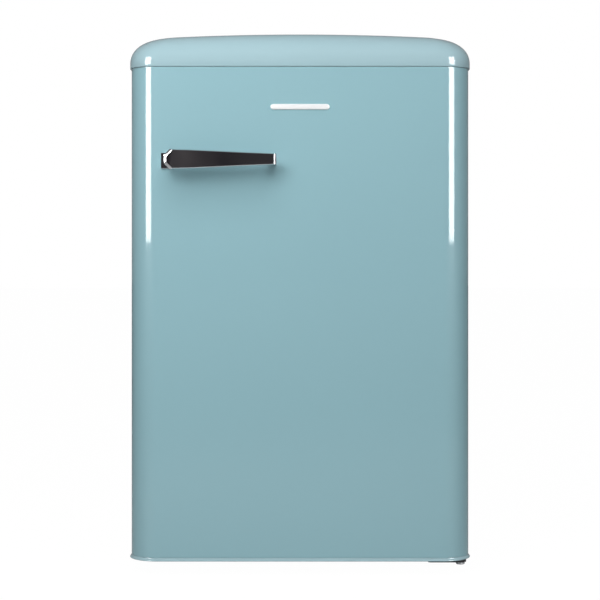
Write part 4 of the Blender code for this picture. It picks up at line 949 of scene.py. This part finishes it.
def figure(text, height, place):
    """A raised figure as its own small mesh."""
    curve = bpy.data.curves.new("figure", "FONT")
    curve.body, curve.size, curve.extrude = text, height, 0.0001
    curve.align_x, curve.align_y = "CENTER", "CENTER"
    holder = bpy.data.objects.new("figure", curve)
    mesh = bpy.data.meshes.new_from_object(holder)
    made = bmesh.new()
    made.from_mesh(mesh)
    bmesh.ops.transform(made, matrix=place, verts=made.verts)
    bpy.data.objects.remove(holder)
    bpy.data.curves.remove(curve)
    bpy.data.meshes.remove(mesh)
    return made


# ---- hinges, feet and hardware
def hinge_hardware():
    """Plates with eased edges, domed pins, and screws with a driven recess."""
    ends = (("upper", 1), ("lower", -1))
    for end, up in ends:
        refined(f"{end}_hinge_strap", f"{end}_hinge_plate", 0.0007, 3, limit=1.2)
    for end, up in ends:
        node = f"{end}_hinge_pin"
        low, high, centre = centred(node)
        centre.z = low.z if up > 0 else high.z
        long = high.z - low.z
        turned(f"{node}_turned", node, centre, UP * up, (
            (0, 0), (0, 0.0034), (0.0006, 0.004), (long - 0.0051, 0.004), (long - 0.005, 0.0068),
            (long - 0.0042, 0.007), (long - 0.0012, 0.007), (long - 0.0003, 0.0062), (long, 0.0048),
            (long - 0.0002, 0.003), (long - 0.0022, 0.0026), (long - 0.0022, 0)), 36, 35)
    for end, up in ends:
        for number in (1, 2):
            node = f"{end}_hinge_screw_{number}"
            low, high, centre = centred(node)
            centre.z = high.z if up > 0 else low.z
            screw(node, centre, UP * -up, high.z - low.z)
    for node in ("handle_screw_left", "handle_screw_right"):
        low, high, centre = centred(node)
        screw(node, (centre.x, high.y, centre.z), BACK * -1, high.y - low.y)


def screw(node, tip, run, long):
    """Pan-head screw from the top of its head along its run, with a recess and a rolled thread."""
    thread = []
    depth = 0.003
    while depth < long - 0.0016:
        thread += [(depth, 0.0017), (depth + 0.0005, 0.002)]
        depth += 0.001
    turned(f"{node}_threaded", node, tip, run, (
        (0.0016, 0), (0.0016, 0.0011), (0.0002, 0.0015), (0, 0.0022), (0.0006, 0.0036), (0.0014, 0.0043),
        (0.0024, 0.0043), (0.0026, 0.002), *thread, (long - 0.001, 0.0017), (long, 0.0004),
        (long, 0)), 24, 35)


def feet():
    """Levelling feet: a ribbed pad and a threaded stud; plain rear feet."""
    for side in ("left", "right"):
        node = f"front_foot_{side}"
        low, high, centre = centred(node)
        centre.z = 0
        top = BASE_Z - 4 * GAP
        thread = []
        height = top + 0.0004
        while height < high.z - 0.0015:
            thread += [(height, 0.0036), (height + 0.0006, 0.004)]
            height += 0.0012
        bm = bmesh.new()
        lathe(bm, centre, UP, (
            (0, 0), (0, 0.0135), (0.0006, 0.016), (0.0014, 0.0166), (0.005, 0.0166), (0.006, 0.0158),
            (0.0078, 0.0128), (top - 0.001, 0.012), (top, 0.0112), (top, 0.0038), *thread, (high.z, 0.0034),
            (high.z, 0)), 48)
        bars_round(bm, 24, "Z", centre, (0.0158, -0.0006, 0.0015), (0.01665, 0.0006, 0.005), 0.0003)
        stand_in(f"{node}_levelling", bm, node, smooth=40)
    for side in ("left", "right"):
        node = f"rear_foot_{side}"
        low, high, centre = centred(node)
        centre.z = 0
        turned(f"{node}_moulded", node, centre, UP, (
            (0.001, 0), (0.001, 0.011), (0, 0.012), (0, 0.015), (0.001, 0.0165), (0.0055, 0.0166),
            (0.0066, 0.0158), (high.z - 0.001, 0.0127), (high.z, 0.0122), (high.z, 0)), 48, 40)


# ---- machine bay
def compressor_unit():
    """Domed compressor shell with its weld flange, foot plate, grommets, relay cover and drip tray."""
    low, high, centre = centred("compressor")
    centre.z = low.z
    bm = bmesh.new()
    lathe(bm, centre, UP, (
        (0.001, 0), (0.001, 0.03), (0.004, 0.041), (0.01, 0.048), (0.024, 0.0545), (0.045, 0.0575),
        (0.0595, 0.058), (0.0605, 0.0612), (0.062, 0.0614), (0.065, 0.0614), (0.0662, 0.0608),
        (0.0672, 0.058), (0.085, 0.0572), (0.105, 0.0545), (0.12, 0.049), (0.13, 0.04),
        (0.1355, 0.029), (0.1385, 0.015), (high.z - low.z, 0)), 96)
    for vert in bm.verts:
        vert.co.x = centre.x + (vert.co.x - centre.x) * 78 / 58
    plate = block((low.x, low.y + 0.0085, low.z), (high.x, high.y - 0.0085, low.z + 0.003))
    bevel(plate, edges_along(plate, Z), 0.012, 5)
    bevel(plate, rim(plate, Z, low.z) + rim(plate, Z, low.z + 0.003), 0.0008, 2)
    join(bm, plate)
    stand_in("compressor_shell", bm, "compressor", smooth=35)
    for i in range(1, 5):
        node = f"compressor_grommet_{i}"
        low, high, spot = centred(node)
        tall = high.z - low.z
        turned(f"{node}_moulded", node, (spot.x, spot.y, low.z), UP, (
            (0, 0), (0, 0.0098), (0.0008, 0.0106), (0.0055, 0.0106), (0.0066, 0.0098), (0.009, 0.008),
            (0.0125, 0.008), (0.015, 0.0098), (0.016, 0.0106), (tall - 0.0008, 0.0106), (tall, 0.0098),
            (tall, 0)), 36, 40)
    refined("relay_cover", "start_relay_box", 0.0006, 2, limit=0.7)
    low, high, spot = centred("evaporation_tray")
    bm = block(low, high)
    bevel(bm, edges_along(bm, Z), 0.012, 6)
    for vert in bm.verts:
        if vert.co.z < low.z + 1e-5:
            vert.co.x = spot.x + (vert.co.x - spot.x) * 60 / 70
            vert.co.y = spot.y + (vert.co.y - spot.y) * 44 / 52
    hollow(bm, low.z, high.z, 0.003, 3, 0.0006)
    stand_in("drip_tray", bm, "evaporation_tray", smooth=45)
    low, high, spot = centred("filter_drier")
    turned("drier_capsule", "filter_drier", (spot.x, spot.y, low.z), UP, (
        (0, 0), (0, 0.003), (0.0004, 0.0035), (0.004, 0.0038), (0.0068, 0.0068), (0.01, 0.0086),
        (0.014, 0.009), (0.09, 0.009), (0.094, 0.0086), (0.0972, 0.0068), (0.1, 0.0038),
        (0.1036, 0.0035), (0.104, 0.003), (0.104, 0)), 36, 45)


def bent(points, radius, steps=7):
    """The points of a path, with its inner corners rounded."""
    points = [Vector(point) for point in points]
    path = [points[0]]
    for before, corner, after in zip(points, points[1:], points[2:]):
        inward, onward = before - corner, after - corner
        reach = min(radius, inward.length * 0.49, onward.length * 0.49)
        start, end = corner + inward.normalized() * reach, corner + onward.normalized() * reach
        for step in range(steps + 1):
            share = step / steps
            path.append(start.lerp(corner, share).lerp(corner.lerp(end, share), share))
    return path + [points[-1]]


def pipe(bm, points, radius, sides):
    """A round tube along a path: a ring of vertices extruded from point to point."""
    runs = [(b - a).normalized() for a, b in zip(points, points[1:])]
    aim = runs[0]
    place = Matrix.Translation(points[0]) @ UP.rotation_difference(aim).to_matrix().to_4x4()
    made = bmesh.ops.create_circle(bm, cap_ends=True, segments=sides, radius=radius, matrix=place)["verts"]
    faces = list(made[0].link_faces)
    for index in range(1, len(points)):
        new = bmesh.ops.extrude_face_region(bm, geom=faces)["geom"]
        if index > 1:
            drop(bm, [face for face in faces if face.is_valid])
        verts = verts_in(new)
        bmesh.ops.translate(bm, verts=verts, vec=points[index] - points[index - 1])
        ahead = runs[index - 1]
        if index < len(runs):
            ahead = (ahead + runs[index]).normalized()
        swing = aim.rotation_difference(ahead).to_matrix()
        bmesh.ops.rotate(bm, verts=verts, cent=points[index], matrix=swing)
        aim = ahead
        faces = faces_in(new)


def condenser_tube():
    """Serpentine tube from the compressor up one side and down in thirteen passes to the drier."""
    low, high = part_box("condenser_tube")
    shell_low, shell_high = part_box("compressor")
    drier_low, drier_high, drier = centred("filter_drier")
    radius, passes, pitch = 0.0025, 13, 0.04
    plane, riser, half, top = high.y - radius, high.x - radius, -(low.x + radius), high.z - radius
    start = Vector((shell_high.x - 0.0097, (shell_low.y + shell_high.y) / 2 + 0.02, shell_low.z + 0.05))
    corners = [start, start + Vector((0.03, 0, 0)), (riser, plane - 0.02, start.z + 0.03),
               (riser, plane, start.z + 0.075), (riser, plane, top)]
    side = 1
    for index in range(passes):
        z = top - index * pitch
        if index:
            corners.append((side * half, plane, z))
        corners.append((-side * half, plane, z))
        side = -side
    last = top - (passes - 1) * pitch
    corners[-1] = (drier.x, plane, last)
    corners += [(drier.x, plane, last - 0.045), (drier.x, drier.y, drier_high.z + 0.023),
                (drier.x, drier.y, drier_high.z + 0.0008)]
    bm = bmesh.new()
    pipe(bm, bent(corners, 0.0085), radius, 12)
    stand_in("serpentine_tube", bm, "condenser_tube", smooth=60)


def condenser_lattice():
    """Spot-welded wires, a bar across each end and four standoff brackets."""
    low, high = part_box("condenser_wires")
    wire = 0.0008
    span = high.x - 2 * wire
    bars = 2 * int(span / 0.0135) + 1
    tall = high.z - low.z - 0.0032
    bm = bmesh.new()
    for index in range(bars):
        x = -span + 2 * span * index / (bars - 1)
        middle_of_wire = Vector((x, high.y - wire, low.z + 0.0016)) + UP * tall / 2
        bmesh.ops.create_cone(bm, cap_ends=True, segments=8, radius1=wire, radius2=wire, depth=tall,
                              matrix=Matrix.Translation(middle_of_wire))
    for z in (low.z + 0.0028, high.z - 0.0028):
        bar(bm, (-span - wire, high.y - 2 * wire, z - wire), (span + wire, high.y, z + wire), 0.0004, 1)
    for x in (-span, span):
        for z in (low.z, high.z - 0.0056):
            bar(bm, (x - 0.004, low.y, z), (x + 0.004, high.y - wire, z + 0.0056), 0.0008, 2)
            bar(bm, (x - 0.009, low.y, z), (x + 0.009, low.y + 0.0015, z + 0.0056), 0.0005, 1)
    stand_in("lattice_wires", bm, "condenser_wires", smooth=45)


def suction_pipe():
    """Wider pipe from the compressor up into the back of the cabinet."""
    low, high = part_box("suction_line")
    radius = 0.0035
    first = Vector((low.x + radius, high.y - 0.0002, low.z + radius))
    line = low.y + radius
    bm = bmesh.new()
    pipe(bm, bent([first, (first.x, line, first.z), (high.x - radius, line, first.z + 0.03),
                   (high.x - radius, line, high.z)], 0.008), radius, 16)
    stand_in("return_line", bm, "suction_line", smooth=60)


def eased_panels():
    """Sheet and moulded pieces whose own shape is right, with their edges eased."""
    for name, node, width, segments in (
            ("base_sheet", "cabinet_base", 0.0003, 2), ("bay_lining", "bay_panel", 0.0003, 2),
            ("machine_tray", "machine_plate", 0.0003, 2),
            ("cover_closing_plate", "cover_underplate", 0.0005, 2),
            ("door_head_cap", "door_top_cap", 0.0008, 3), ("egg_cups", "egg_tray", 0.0007, 3)):
        refined(name, node, width, segments, limit=1.2)


def finish_carried_nodes():
    """Gives every node that still shows its own slot's finish."""
    for node, slot in SLOT_OF.items():
        mesh = NODES[node].data
        mesh.materials.clear()
        mesh.materials.append(FINISHES[slot])


def main():
    for build in (studio_camera, studio_lights, studio_floor, finish_carried_nodes, top_cover, door_panel,
                  door_foot_moulding, bow_handle, blank_nameplate, cabinet_sheet, rear_sheet, cavity_liner,
                  door_inner_panel, door_seal, door_trays, glass_shelves, crisper_box, freezer_compartment,
                  control_unit, hinge_hardware, feet, compressor_unit, condenser_tube, condenser_lattice,
                  suction_pipe, eased_panels):
        build()


main()
bpy.context.scene.view_settings.view_transform = "Standard"
